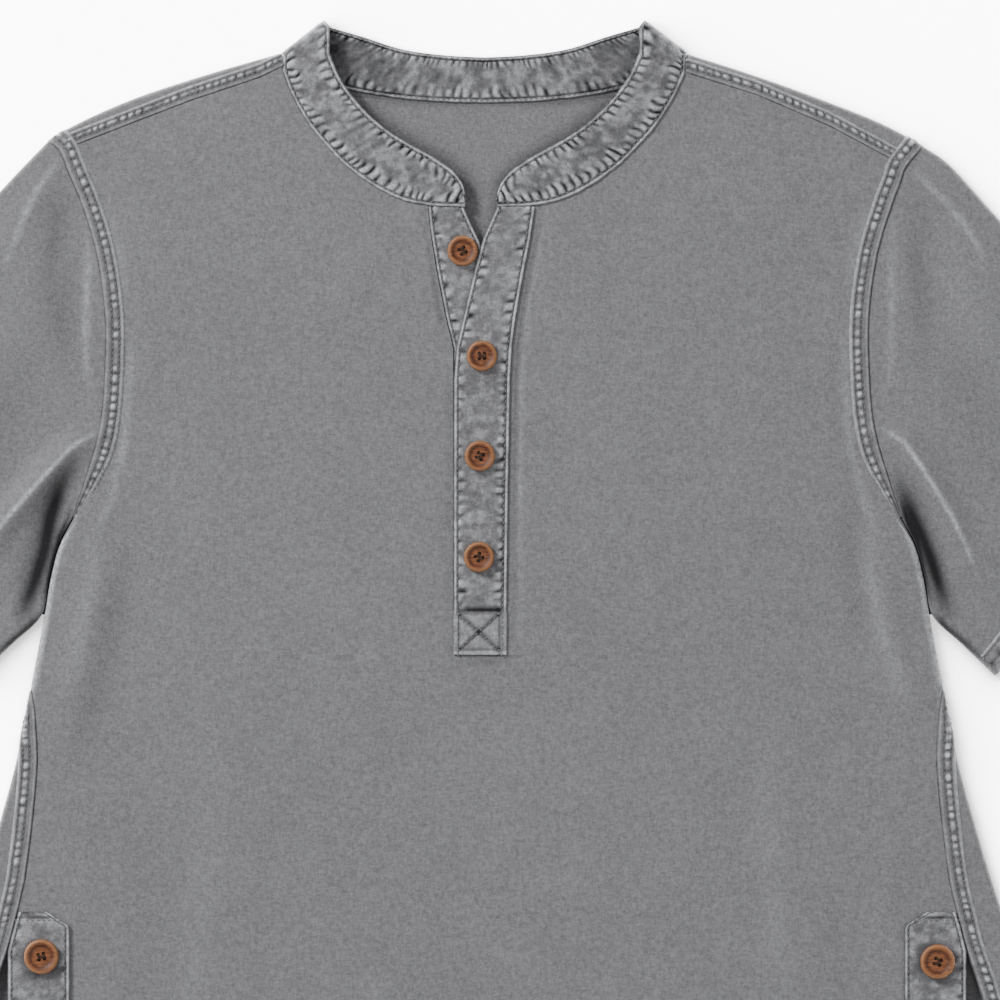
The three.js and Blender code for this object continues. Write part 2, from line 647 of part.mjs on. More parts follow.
function collarHalf(side) {
  const seamHeight = (x, y) => clothTop(x, y) + COLLAR_SEAM_RISE;
  const front = [...COLLAR_FRONT].reverse().map((row) => {
    const seamX = side * row.seamX + collarCentre(row.seamY);
    const edgeX = side * row.edgeX + collarCentre(row.seamY);
    return collarRow(
      new THREE.Vector3(seamX, row.seamY, seamHeight(seamX, row.seamY)),
      new THREE.Vector3(edgeX, row.edgeY, row.lift),
    );
  });
  const seam = new THREE.Vector2(side * COLLAR_FOLD.seamX + COLLAR_CENTRE.topX, COLLAR_FOLD.seamY);
  const edge = new THREE.Vector2(side * COLLAR_FOLD.edgeX + COLLAR_CENTRE.topX, COLLAR_FOLD.edgeY);
  const outwards = new THREE.Vector2(-(edge.y - seam.y), edge.x - seam.x).normalize().multiplyScalar(-side);
  const onFold = (base, height, angle) => {
    const radius = height / 2;
    const point = base.clone().addScaledVector(outwards, radius * (Math.cos(angle) - 1));
    return new THREE.Vector3(point.x, point.y, radius * (1 + Math.sin(angle)));
  };
  const quarter = Math.PI / 2;
  const fold = COLLAR_TURN_SHARES.map((share) =>
    collarRow(
      onFold(seam, seamHeight(seam.x, seam.y), share * quarter),
      onFold(edge, COLLAR_FOLD.lift, share * quarter),
    ),
  );
  const back = COLLAR_BACK.slice(1).reverse().map((row) =>
    collarRow(
      new THREE.Vector3(side * row.seamX + COLLAR_CENTRE.topX, row.seamY, 0),
      new THREE.Vector3(side * row.edgeX + COLLAR_CENTRE.topX, row.edgeY, 0),
    ),
  );
  return [...front, ...fold, ...back];
}

function makeCollar() {
  const [middle] = COLLAR_BACK;
  const centre = collarRow(
    new THREE.Vector3(COLLAR_CENTRE.topX, middle.seamY, 0),
    new THREE.Vector3(COLLAR_CENTRE.topX, middle.edgeY, 0),
  );
  const rows = [...collarHalf(RIGHT), centre, ...collarHalf(LEFT).reverse()];
  return clothWall(rows, BAND_CLOTH);
}

// A strip along the placket or a vent: rows of points from its left edge to its right edge
const STRIP_STEP = 24;
function strip(rows, columns, riseAt) {
  const heights = rows.slice(1).flatMap((row, i) => spread(rows[i].y, row.y, STRIP_STEP).slice(i === 0 ? 0 : 1));
  const grid = heights.map((y) => {
    const left = alongLine(rows, "y", "left", y);
    const right = alongLine(rows, "y", "right", y);
    return Array.from({ length: columns + 1 }, (_, k) => {
      const x = mix(left, right, k / columns);
      return new THREE.Vector3(x, y, clothTop(x, y) + riseAt(y));
    });
  });
  return clothWall(grid, CLOTH);
}

const makeOverlap = () => strip(OVERLAP.rows, 3, () => OVERLAP.rise);
const makeUnderlap = () => strip(UNDERLAP.rows, 3, (y) => alongLine(UNDERLAP.rows, "y", "rise", y));

const FACING_RISE = CLOTH + SEAM_GAP;
function makeFacing(side) {
  const inner = VENT_EDGE_X - FACING_WIDTH;
  const rows = [
    { y: HEM_Y, outer: VENT_EDGE_X },
    { y: VENT_TOP_Y, outer: VENT_EDGE_X },
    { y: FACING_TOP_Y - 6, outer: VENT_EDGE_X - 4 },
    { y: FACING_TOP_Y, outer: VENT_EDGE_X - 6 },
  ].map(({ y, outer }) => ({
    y,
    left: side === LEFT ? inner : -outer,
    right: side === LEFT ? outer : -inner,
  }));
  return strip(rows, 4, () => FACING_RISE);
}

// A button: a turned disc with a raised rim and a sunken middle, and four thread holes
const BUTTON_SIDES = 18;
const HOLE_SIDES = 5;
const HOLE_RADIUS = 0.9;
const HOLE_CIRCLE = 1.9;

function makeButton({ radius, thickness }, x, y, seat) {
  const profile = [
    [0, 0],
    [radius * 0.84, 0],
    [radius, thickness * 0.3],
    [radius * 0.98, thickness * 0.8],
    [radius * 0.86, thickness],
    [radius * 0.68, thickness * 0.94],
    [radius * 0.56, thickness * 0.66],
    [0, thickness * 0.62],
  ].map(([r, z]) => new THREE.Vector2(r, z));
  const disc = new THREE.LatheGeometry(profile, BUTTON_SIDES).rotateX(Math.PI / 2);
  let button = solidOf(disc);
  for (const [across, up] of [[1, 1], [1, -1], [-1, 1], [-1, -1]]) {
    const hole = new THREE.CylinderGeometry(HOLE_RADIUS, HOLE_RADIUS, thickness * 3, HOLE_SIDES);
    hole.rotateX(Math.PI / 2).translate((across * HOLE_CIRCLE) / Math.SQRT2, (up * HOLE_CIRCLE) / Math.SQRT2, 0);
    button = button.subtract(solidOf(hole));
  }
  return geometryOf(button).translate(x, y, seat);
}

const shirt = new THREE.Group();

function add(name, geometry, color, roughness = 0.95) {
  const mesh = new THREE.Mesh(geometry, new THREE.MeshStandardMaterial({ color, roughness, metalness: 0 }));
  mesh.name = name;
  shirt.add(mesh);
}

add("back", makeBack(), CLOTH_COLOUR);
add("front", makeFront(), CLOTH_COLOUR);
add("collar", makeCollar(), BAND_COLOUR);
add("placket_overlap", makeOverlap(), BAND_COLOUR);
add("placket_underlap", makeUnderlap(), BAND_COLOUR);
for (const { side, word } of SIDES) {
  add(`sleeve_${word}`, makeSleeve(side), CLOTH_COLOUR);
  add(`vent_facing_${word}`, makeFacing(side), BAND_COLOUR);
  const [x, y] = VENT_BUTTON_PLACE[side];
  const seat = clothTop(x, y) + FACING_RISE + BUTTON_SEAT;
  add(`vent_button_${word}`, makeButton(VENT_BUTTON, x, y, seat), BUTTON_COLOUR, 0.5);
}
for (const { name, x, y, on } of FRONT_BUTTONS) {
  const rise = on === "overlap" ? OVERLAP.rise : alongLine(UNDERLAP.rows, "y", "rise", y + FRONT_BUTTON.radius);
  const seat = clothTop(x, y) + rise + BUTTON_SEAT;
  add(name, makeButton(FRONT_BUTTON, x, y, seat), BUTTON_COLOUR, 0.5);
}

export default shirt;
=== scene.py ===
# A short-sleeved henley shirt in garment-washed grey cotton, laid flat on its back.
# Lengths are in millimetres until a mesh is made, which is in metres. +X is the wearer's left.
import math

import bpy
import numpy as np
from mathutils import Matrix, Vector


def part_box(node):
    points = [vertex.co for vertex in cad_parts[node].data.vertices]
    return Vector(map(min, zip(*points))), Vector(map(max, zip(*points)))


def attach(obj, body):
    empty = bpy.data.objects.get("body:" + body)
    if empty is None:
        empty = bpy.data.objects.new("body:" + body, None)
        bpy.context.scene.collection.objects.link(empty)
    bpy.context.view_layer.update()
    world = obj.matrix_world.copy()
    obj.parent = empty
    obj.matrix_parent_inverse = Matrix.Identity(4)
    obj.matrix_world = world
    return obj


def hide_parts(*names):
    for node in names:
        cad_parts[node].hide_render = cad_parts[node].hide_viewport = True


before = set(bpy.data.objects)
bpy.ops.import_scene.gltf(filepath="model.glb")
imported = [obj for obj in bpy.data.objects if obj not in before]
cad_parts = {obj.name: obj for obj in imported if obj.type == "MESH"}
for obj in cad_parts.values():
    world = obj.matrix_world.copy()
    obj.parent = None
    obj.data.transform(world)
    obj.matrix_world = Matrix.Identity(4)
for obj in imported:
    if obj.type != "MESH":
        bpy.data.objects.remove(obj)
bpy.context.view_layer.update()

MM = 0.001
RIGHT, LEFT, BOTH = -1, 1, 0
SIDES = ((RIGHT, "right"), (LEFT, "left"))

# Thicknesses and clearances
CLOTH = 1.1
BAND_CLOTH = 1.8
LAID_HEIGHT = 5.0
FOLD_RADIUS = LAID_HEIGHT / 2
HALF_TURN = math.pi * FOLD_RADIUS
SEAM_GAP = 0.3
TRIM_WALL = 0.3

# Main sizes
HEM_Y = -375.0
UNDERARM_Y = 101.0
VENT_TOP_Y = -137.0
VENT_EDGE_X = 263.5
FACING_WIDTH = 34.0
FACING_TOP_Y = -115.0
PLACKET_BOTTOM_Y = 26.0
SLEEVE_FULLNESS = 1.1
FELL_WIDTH = 11.0
SLEEVE_HEM = {
    "width": 24.0, "rows": (2.2, 7.5), "pitch": 7.5, "start": 3, "end": 14, "fade": 6,
    "fold": 0.6, "puff": 0.6, "rub_and_highlight": 0.65, "turn_pale": 0.6, "edge_pale": 0.5,
}
BODY_HEM = {
    "width": 20.0, "rows": (2.2,), "pitch": 7.5, "start": 2.5, "end": 11, "fade": 5,
    "fold": 0.55, "puff": 0.5, "rub_and_highlight": 0.6, "turn_pale": 0.5, "edge_pale": 0.45,
}

# The folded side edge: half width, and the strip of back cloth that comes round onto the front
BODY_EDGE = {
    "y": [HEM_Y, -275, -215, -164, -131, -98, -65, -32, -5, 10, 46, 67, 86, UNDERARM_Y],
    "half": [323, 319, 312.5, 301, 289, 277.8, 267.9, 259, 253.6, 250.8, 243.9, 240.5, 235.5, 228],
    "wrap": [28, 28, 28, 28, 26.7, 23.4, 17.8, 11.6, 5, 0, 0, 0, 0, FOLD_RADIUS],
}

ARMHOLE = [
    (228, UNDERARM_Y), (225, 110), (221, 122), (213, 150.7),
    (210.2, 180), (210, 213), (214.5, 246), (222.2, 272),
]
ARMHOLE_TURN = 0.62

# Shoulders: the folded edge, and the seam forward of it on the front
SHOULDER = {
    RIGHT: {
        "tip": (241.5, 308.6), "seam_end": (235, 303),
        "x": [113.6, 125, 163, 197, 224, 235, 243],
        "edge": [357, 353.8, 342.6, 331, 319, 313.1, 307.4],
        "seam": [349.4, 343.8, 331.1, 318, 307.5, 303, 299.5],
    },
    LEFT: {
        "tip": (239.8, 305.8), "seam_end": (230.5, 294.3),
        "x": [110.8, 125, 148, 189, 218, 230.5, 242],
        "edge": [356.4, 352, 344.5, 329.7, 317.9, 311.5, 303.9],
        "seam": [346.1, 341.6, 334.4, 316.8, 301.2, 294.3, 288.5],
    },
}

SLEEVE_TOP_FOLD = [(253, 297), (267.5, 281.6), (281.6, 265.8), (330, 214.6)]
CUFF_TOP, CUFF_BOTTOM = (406, 134.2), (279.4, 14.3)
SLEEVE_UNDER_FOLD = [(236.3, 86), (241.3, 67), (245.3, 47.5), (262, 31.2)]

# Collar band, half of it: neck seam and free edge, from the fold at the side of the neck
COLLAR_CENTRE = {"y": [272, 357], "x": [-3.3, -1.4]}
COLLAR_BACK_X = COLLAR_CENTRE["x"][-1]
COLLAR_FOLD = {"seam": (111.7, 356.7), "edge": (88, 375), "lift": 9.2}
COLLAR_FRONT = {
    "seam": [(110, 347), (105, 334.7), (96.2, 319.6), (85.2, 306.4), (73.7, 295), (57.8, 283.8),
             (41.8, 276.4), (26, 273.4), (15.7, 272.8), (9, 272.3)],
    "edge": [(85, 356.4), (79, 343), (70, 330.6), (60, 320.4), (48.7, 311.9), (37.7, 305.5), (27.5, 300),
             (16.2, 292.3), (10.7, 285.5), (8.6, 278.9)],
    "lift": [9.4, 9.4, 9.2, 9, 8.7, 8.4, 8, 7.5, 7, 6.5],
}
COLLAR_BACK = {
    "seam": [(0, 330.5), (35, 332), (70, 337), (99, 346.5)],
    "seam_end": (112, 353.6),
    "edge": [(0, 354.8), (22, 356), (45, 359.2), (67.6, 366.3)],
}
COLLAR_SEAM_RISE, COLLAR_CROWN = 0.6, 0.5

OVERLAP = {
    "y": [PLACKET_BOTTOM_Y, 110, 177, 195, 211, 236, 255, 271.4],
    "left": [-18.4, -18.4, -18.2, -17, -13.2, -7.3, -2.2, 5.2],
    "right": [10.6, 11.6, 12.8, 13.8, 15.8, 20.2, 24, 26.4],
    "rise": [0.8] * 8,
}
UNDERLAP = {
    "y": [PLACKET_BOTTOM_Y + 1, 110, 195, 211, 236, 254, 262, 271.4],
    "left": [-17.6, -17.6, -18.6, -22.6, -27.5, -30.4, -31.5, -32.4],
    "right": [8, 8, 7, 6, 1.5, -4.4, -8.3, -12.6],
    "rise": [-1.2, -1.2, -1.2, -1.1, -0.9, -0.4, 0.1, 0.3],
}

FRONT_BUTTON = {"radius": 8.4, "thickness": 3.2}
VENT_BUTTON = {"radius": 9.6, "thickness": 3.4}
BUTTONS = {f"button_{number}": FRONT_BUTTON for number in (1, 2, 3, 4)}
BUTTONS.update({f"vent_button_{word}": VENT_BUTTON for _, word in SIDES})

# Soft folds of the laid cloth: side, width, height above the laid cloth, and path
FOLDS = [
    (LEFT, 7, 5, [(214, 150), (229.4, 142.5), (241.5, 124.9), (255.2, 102.3), (266, 80)]),
    (RIGHT, 8, 5, [(214, 149), (228.8, 139.7), (247, 119.9), (267.9, 96.3), (280, 78)]),
    (BOTH, 7, -1.4, [(220.6, 133), (236, 110), (248, 82), (254, 59.4), (259, 45)]),
    (LEFT, 14, -0.9, [(208, 150), (203.5, 123.2), (199.1, 87.5), (204.6, 48.4), (212, 10)]),
    (LEFT, 11, 1.8, [(214, 104), (215, 76.5), (219, 42.9), (228.3, 8.8), (232, -20)]),
    (RIGHT, 14, -0.9, [(192, 110), (194.7, 87.5), (202, 55), (209, 20), (222, -37)]),
    (RIGHT, 11, 1.8, [(214, 96), (217, 60), (224, 20), (229, -10), (233, -40)]),
    (BOTH, 9, 1.4, [(235, 297), (252.5, 275), (265.5, 250), (275, 222)]),
    (LEFT, 16, 1.5, [(300, 215), (322, 150), (338, 98)]),
    (RIGHT, 17, 1.3, [(306, 190), (330, 136), (352, 96)]),
    (BOTH, 13, -0.8, [(256, 220), (292, 160), (318, 108)]),
    (LEFT, 24, 1.5, [(150, -210), (157, -300), (161, -390)]),
    (RIGHT, 26, 1.6, [(166, -190), (176, -290), (182, -390)]),
    (BOTH, 26, -0.8, [(205, -235), (214, -310), (220, -390)]),
    (RIGHT, 28, 1.2, [(52, -245), (56, -310), (58, -390)]),
    (LEFT, 24, 1.1, [(74, -260), (78, -320), (80, -390)]),
]
FOLD_ENDS = (0.06, 0.94)

# Smaller creases, which the solids leave out
CREASES = [
    (RIGHT, 5, 0.7, [(222, 262), (232, 236), (236, 200), (234, 170)]),
    (RIGHT, 6, -0.5, [(231, 268), (242, 240), (248, 205)]),
    (LEFT, 5, 0.6, [(222, 268), (231, 240), (236, 205), (236, 175)]),
    (LEFT, 6, -0.4, [(233, 262), (243, 236), (250, 198)]),
    (RIGHT, 6, 0.5, [(196, 240), (186, 200), (183, 160)]),
    (LEFT, 6, 0.45, [(195, 236), (187, 196), (186, 150)]),
    (LEFT, 8, 0.5, [(36, 255), (58, 225), (72, 180)]),
    (RIGHT, 8, 0.45, [(46, 262), (72, 236), (96, 196)]),
    (BOTH, 7, 0.4, [(226, -52), (222, -100), (214, -150)]),
    (BOTH, 5, 0.6, [(264, 92), (276, 74), (286, 50)]),
    (LEFT, 5, -0.6, [(258, 66), (268, 52), (282, 36)]),
    (RIGHT, 5, -0.6, [(257, 68), (266, 54), (279, 38)]),
]

# The faint unevenness of laid cloth: height, length across, length up, and seed
RIPPLES = [(0.16, 37, 51, 3), (0.1, 15, 21, 5)]

# The placket's edge, with a painted shadow on the cloth beside it and a painted highlight beyond that
PLACKET_SIDE = [(12.6, 14), (13, 30), (13.8, 110), (15, 177), (18.4, 213), (23, 238), (28.8, 268), (30, 285)]

# Painted highlights and rubbed streaks (above 0) and painted shade in hollows and beside raised edges (below
# 0) on the cloth: side, width, tone, and path
BODY_SHADES = [
    (RIGHT, 7, -0.13, [(195, 100), (201, 68), (207, 26), (219, -9), (226, -37)]),
    (LEFT, 6, -0.14, [(203.5, 123), (199, 87), (204.6, 48), (206, 20)]),
    (LEFT, 5, 0.16, [(207, 112), (209, 76), (216, 43), (228, 9), (236, -20)]),
    (RIGHT, 5, 0.14, [(214, 108), (217, 70), (224, 30), (231, -5)]),
    (BOTH, 2.4, 0.3, [(196, 215), (196.4, 180), (200, 140), (207, 112), (216, 88)]),
    (BOTH, 3.2, 0.16, [(211, 275), (203, 250), (198, 215)]),
    (BOTH, 9, 0.07, [(150, 20), (153, -60), (162, -150), (166, -260), (170, -390)]),
    (BOTH, 12, -0.06, [(190, -60), (196, -150), (204, -260), (208, -390)]),
    (BOTH, 10, 0.06, [(60, -120), (66, -220), (66, -390)]),
    (RIGHT, 1.6, -0.75, [(-28, 24.2), (-10, 23.8), (10, 23.8), (20, 24.4)]),
    (LEFT, 1.6, -0.75, [(-28, 24.2), (-10, 23.8), (4, 23.8), (12, 24.4)]),
    (LEFT, 1.5, -0.42, PLACKET_SIDE),
    (LEFT, 1.4, 0.2, [(x + 4, y) for x, y in PLACKET_SIDE]),
    (RIGHT, 1.3, -0.4, [(20, 14), (20, 30), (20, 110), (20, 177), (20.3, 192)]),
    (RIGHT, 1.3, -0.36, [(21, 192), (25, 205), (29.8, 236), (34, 270), (35, 285)]),
]
SLEEVE_SHADES = [
    (RIGHT, 1.8, 0.6, [(231, 303), (241, 291), (249, 279), (256, 264), (262, 248), (267, 228)]),
    (LEFT, 1.8, 0.4, [(231, 298), (241, 286), (252, 275), (263, 262), (271, 248), (277, 232)]),
    (RIGHT, 2.2, 0.36, [(224, 276), (219, 242), (220.5, 222), (221, 190), (216, 160)]),
    (LEFT, 2.2, 0.32, [(226, 278), (222, 242), (222.5, 220), (222.5, 190), (217, 160)]),
    (RIGHT, 8, -0.27, [(234, 296), (238, 262), (238, 222), (234, 172)]),
    (LEFT, 8, -0.13, [(234, 296), (238, 262), (238, 222), (234, 172)]),
    (RIGHT, 1.2, 1.15, [(210, 150), (219, 146.3), (228.8, 139.7), (247, 119.9), (267.9, 96.3), (281, 78),
                        (296, 50)]),
    (LEFT, 1.2, 0.85, [(211, 153), (220.6, 148.5), (229.4, 142.5), (241.5, 124.9), (255.2, 102.3), (264, 84),
                       (274, 58)]),
    (RIGHT, 4.9, -0.76, [(224, 140), (228.3, 130.9), (234.3, 118.8), (240, 101.2), (243, 84), (248, 68),
                         (251.5, 59), (254.4, 51.7), (258, 45), (261, 38)]),
    (LEFT, 4.3, -0.76, [(221, 134), (226.6, 118), (232, 106), (238, 93), (244, 78), (248.5, 64), (253, 50),
                        (260, 39)]),
    (RIGHT, 7.5, -0.34, [(226, 140), (236, 116), (244, 92), (250, 68), (262, 36)]),
    (LEFT, 6.5, -0.34, [(222, 142), (232, 116), (242, 92), (249, 68), (262, 36)]),
    (BOTH, 1.6, -0.8, [(226, 116), (230, 102), (235, 91), (239, 76), (243, 58), (245, 48)]),
    (BOTH, 2.2, -0.8, [(243, 52), (251, 42.4), (262, 33), (279, 17)]),
    (RIGHT, 15, 0.05, [(238, 275), (256, 240), (266, 205), (270, 170)]),
    (RIGHT, 16, -0.15, [(246, 225), (262, 175), (276, 140), (290, 110)]),
    (LEFT, 14, 0.07, [(238, 270), (256, 236), (268, 200), (280, 160)]),
    (LEFT, 12, -0.07, [(246, 205), (262, 170), (278, 136)]),
]
# Painted shade on the back inside the neck, along the collar's free edge and its back seam
NECK_SHADES = [
    (BOTH, 5, -0.5, [(84, 352), (77, 342), (68, 329), (58, 319), (46, 310), (35, 303.6), (25, 298),
                     (14, 290), (9, 284), (8, 270), (6, 255), (2, 240)]),
    (BOTH, 2.5, -0.4, [(-80, 329), (40, 330.5), (72, 335), (98, 344)]),
]
STROKE_FADE, STROKE_PATCH = 3, 13


def mix(start, end, share):
    return start + (end - start) * share


def smooth(share):
    return share * share * (3 - 2 * share)


# Seeded noise, the same on each run
SCATTER_COLUMN, SCATTER_ROW, SCATTER_SEED, SCATTER_SCALE = 127.1, 311.7, 74.7, 43758.5453


def scatter(column, row, seed):
    value = np.sin(column * SCATTER_COLUMN + row * SCATTER_ROW + seed * SCATTER_SEED) * SCATTER_SCALE
    return value - np.floor(value)


def noise(x, y, seed):
    """Smooth noise from -1 to 1, with one bump to a unit."""
    column, row = np.floor(x), np.floor(y)
    across, up = smooth(x - column), smooth(y - row)
    low = mix(scatter(column, row, seed), scatter(column + 1, row, seed), across)
    high = mix(scatter(column, row + 1, seed), scatter(column + 1, row + 1, seed), across)
    return 2 * mix(low, high, up) - 1


def near_path(path, x, y):
    """Distance of each place from a path, and how far along it the nearest point is, from 0 to 1."""
    distance = np.full(np.shape(x), 1e9)
    along = np.zeros(np.shape(x))
    for i, ((ax, ay), (bx, by)) in enumerate(zip(path, path[1:])):
        length_squared = (bx - ax) ** 2 + (by - ay) ** 2
        t = np.clip(((x - ax) * (bx - ax) + (y - ay) * (by - ay)) / length_squared, 0, 1)
        here = np.hypot(x - mix(ax, bx, t), y - mix(ay, by, t))
        nearer = here < distance
        distance = np.where(nearer, here, distance)
        along = np.where(nearer, (i + t) / (len(path) - 1), along)
    return distance, along


def cloth_top(x, y):
    """Height of the cloth's upper face, with its folds, creases and ripples."""
    x, y = np.broadcast_arrays(np.asarray(x, float), np.asarray(y, float))
    height = np.full(x.shape, LAID_HEIGHT)
    for side, width, lift, path in FOLDS + CREASES:
        distance, along = near_path(path, np.abs(x), y)
        ridge = lift * np.exp(-((distance / width) ** 2)) * np.sin(np.pi * np.clip(along, *FOLD_ENDS))
        height += np.where((side == BOTH) | (np.sign(x) == side), ridge, 0)
    return height + sum(rise * noise(x / across, y / up, seed) for rise, across, up, seed in RIPPLES)


def shades(table, x, y):
    """The tone of the cloth at each place, from the table's strokes of painted light and shade and rubbed
    streaks.
    """
    tone = np.zeros(np.shape(x))
    for side, width, strength, path in table:
        distance, along = near_path(path, np.abs(x), y)
        ends = np.clip(np.minimum(along, 1 - along) * STROKE_FADE, 0, 1)
        uneven = 0.85 + 0.3 * noise(x / STROKE_PATCH, y / STROKE_PATCH, 19) if strength > 0 else 1.0
        stroke = strength * np.exp(-((distance / width) ** 2)) * smooth(ends) * uneven
        tone += np.where((side == BOTH) | (np.sign(x) == side), stroke, 0)
    return tone


def spline(points, count=200, steps=24):
    """Points evenly spaced along a smooth curve through the given ones."""
    points = [np.array(p, float) for p in points]
    dense = []
    for i in range(len(points) - 1):
        p0, p1 = points[max(i - 1, 0)], points[i]
        p2, p3 = points[i + 1], points[min(i + 2, len(points) - 1)]
        start, end = (p2 - p0) / 2, (p3 - p1) / 2
        cubic = 2 * p1 - 2 * p2 + start + end
        square = 3 * p2 - 3 * p1 - 2 * start - end
        for t in np.linspace(0, 1, steps, endpoint=False):
            dense.append(cubic * t**3 + square * t**2 + start * t + p1)
    dense.append(points[-1])
    return spaced(np.array(dense), count)


def spaced(line, count):
    steps = np.linalg.norm(np.diff(line, axis=0), axis=1)
    reach = np.concatenate([[0], np.cumsum(steps)])
    places = np.linspace(0, reach[-1], count)
    return np.stack([np.interp(places, reach, line[:, k]) for k in range(line.shape[1])], axis=1)


def curve_table(table, key, column, place):
    """A column of a table on a smooth curve through its rows."""
    keys, values = np.array(table[key], float), np.array(table[column], float)
    slopes = np.gradient(values, keys)
    place = np.clip(place, keys[0], keys[-1])
    i = np.clip(np.searchsorted(keys, place) - 1, 0, len(keys) - 2)
    length = keys[i + 1] - keys[i]
    t = (place - keys[i]) / length
    return (
        mix(values[i], values[i + 1], smooth(t))
        + slopes[i] * length * (t**3 - 2 * t**2 + t)
        + slopes[i + 1] * length * (t**3 - t**2)
    )


def half_width(y):
    return curve_table(BODY_EDGE, "y", "half", y)


def seam_reach(y):
    """Length of back cloth round the side fold, from the ground to the side seam."""
    wrap = np.interp(y, BODY_EDGE["y"], BODY_EDGE["wrap"])
    on_fold = FOLD_RADIUS * (math.pi / 2 + np.arccos(np.clip(1 - wrap / FOLD_RADIUS, -1, 1)))
    return np.where(wrap >= FOLD_RADIUS, HALF_TURN + wrap - FOLD_RADIUS, on_fold)


def round_fold(reach, top):
    """Distance in from a folded edge, and height, at a length of cloth round the fold from the ground."""
    angle = np.clip(reach, 0, HALF_TURN) / FOLD_RADIUS - math.pi / 2
    beyond = np.maximum(reach - HALF_TURN, 0) + np.maximum(-reach, 0)
    return FOLD_RADIUS * (1 - np.cos(angle)) + beyond, top * (1 + np.sin(angle)) / 2


def on_side(side, reach, y):
    inset, _ = round_fold(reach, 0)
    x = side * (half_width(y) - inset)
    return np.stack(np.broadcast_arrays(x, y, round_fold(reach, cloth_top(x, y))[1]), axis=-1)


def on_shoulder(side, reach, x):
    inset, _ = round_fold(reach, 0)
    y = curve_table(SHOULDER[side], "x", "edge", x) - inset
    return np.stack(np.broadcast_arrays(side * x, y, round_fold(reach, cloth_top(side * x, y))[1]), axis=-1)


def on_cloth(x, y, rise=0.0):
    return np.stack(np.broadcast_arrays(x, y, cloth_top(x, y) + rise), axis=-1)


# Meshes
def normals_of(grid, ring=False):
    across = np.roll(grid, -1, 1) - np.roll(grid, 1, 1) if ring else np.gradient(grid, axis=1)
    normal = np.cross(across, np.gradient(grid, axis=0))
    return normal / np.maximum(np.linalg.norm(normal, axis=-1, keepdims=True), 1e-9)


def shell_faces(rows, columns, ring):
    """Quads of an outer face, an inner face behind it, and the rims between them."""
    index = np.arange(rows * columns).reshape(rows, columns)
    behind = rows * columns
    if ring:
        index = np.concatenate([index, index[:, :1]], axis=1)
    outer = np.stack([index[:-1, :-1], index[:-1, 1:], index[1:, 1:], index[1:, :-1]], axis=-1).reshape(-1, 4)
    parts = [outer, outer[:, ::-1] + behind]
    rims = [index[0, ::-1], index[-1, :]]
    if not ring:
        rims += [index[:, 0], index[::-1, -1]]
    for rim in rims:
        parts.append(np.stack([rim[:-1], rim[1:], rim[1:] + behind, rim[:-1] + behind], axis=-1))
    return np.concatenate(parts)


def in_scene(name, data):
    """An object for a mesh, a curve, a light or a camera."""
    made = bpy.data.objects.new(name, data)
    bpy.context.scene.collection.objects.link(made)
    return made


def dress(mesh, material, sharp):
    """Gives a mesh its material and smooth faces, with edges above an angle left sharp."""
    mesh.materials.clear()
    mesh.materials.append(material)
    mesh.shade_smooth()
    mesh.set_sharp_from_angle(angle=math.radians(sharp))


# The tone of each point: rubbed wear and painted highlights above 0, painted shade below 0
def add_wear_and_painted_light(mesh, wear_and_painted_light):
    attribute = mesh.attributes.new("wear_and_painted_light", "FLOAT", "POINT")
    attribute.data.foreach_set("value", np.asarray(wear_and_painted_light, np.float32))


def mesh_object(name, points, faces, material, wear_and_painted_light, sharp=40):
    mesh = bpy.data.meshes.new(name)
    mesh.from_pydata((points * MM).tolist(), [], faces.tolist())
    mesh.validate()
    dress(mesh, material, sharp)
    add_wear_and_painted_light(mesh, wear_and_painted_light)
    return in_scene(name, mesh)


def shell(name, grid, material, wall=CLOTH, relief=None, wear_and_painted_light=None, inner_wear_and_painted_light=0.0, ring=False,
          down_first=False):
    """A thin closed wall of cloth: its outer face is the grid moved out by the relief.

    The outer face looks up, over a ring's first quarter, or down in the first column where down_first is set.
    """
    relief = np.zeros(grid.shape[:2]) if relief is None else relief
    wear_and_painted_light = np.zeros(grid.shape[:2]) if wear_and_painted_light is None else wear_and_painted_light
    normal = normals_of(grid, ring)
    upwards = normal[..., 2]
    if ring:
        upwards = upwards[:, : grid.shape[1] // 4]
    elif down_first:
        upwards = -upwards[:, 0]
    if upwards.sum() < 0:
        grid, normal, relief, wear_and_painted_light = grid[::-1], -normal[::-1], relief[::-1], wear_and_painted_light[::-1]
    outer = grid + normal * relief[..., None]
    inner = grid - normal * wall
    points = np.concatenate([outer.reshape(-1, 3), inner.reshape(-1, 3)])
    faces = shell_faces(*grid.shape[:2], ring)
    shade = np.concatenate([wear_and_painted_light.ravel(), np.full(wear_and_painted_light.size, inner_wear_and_painted_light)])
    return mesh_object(name, points, faces, material, shade)


def joined(name, pieces):
    """One piece from several."""
    bpy.ops.object.select_all(action="DESELECT")
    for piece in pieces:
        piece.select_set(True)
    bpy.context.view_layer.objects.active = pieces[0]
    bpy.ops.object.join()
    pieces[0].name = name
    pieces[0].data.name = name
    return pieces[0]


# Materials: noise scales are in cells a metre, and bump distances in metres
def linear(red, green, blue):
    """A colour from its screen values, 0 to 255."""
    def channel(value):
        value /= 255
        return value / 12.92 if value <= 0.04045 else ((value + 0.055) / 1.055) ** 2.4
    return (channel(red), channel(green), channel(blue), 1)


# The Mix node's sockets for colours
FIRST_COLOUR, SECOND_COLOUR, MIXED_COLOUR = 6, 7, 2


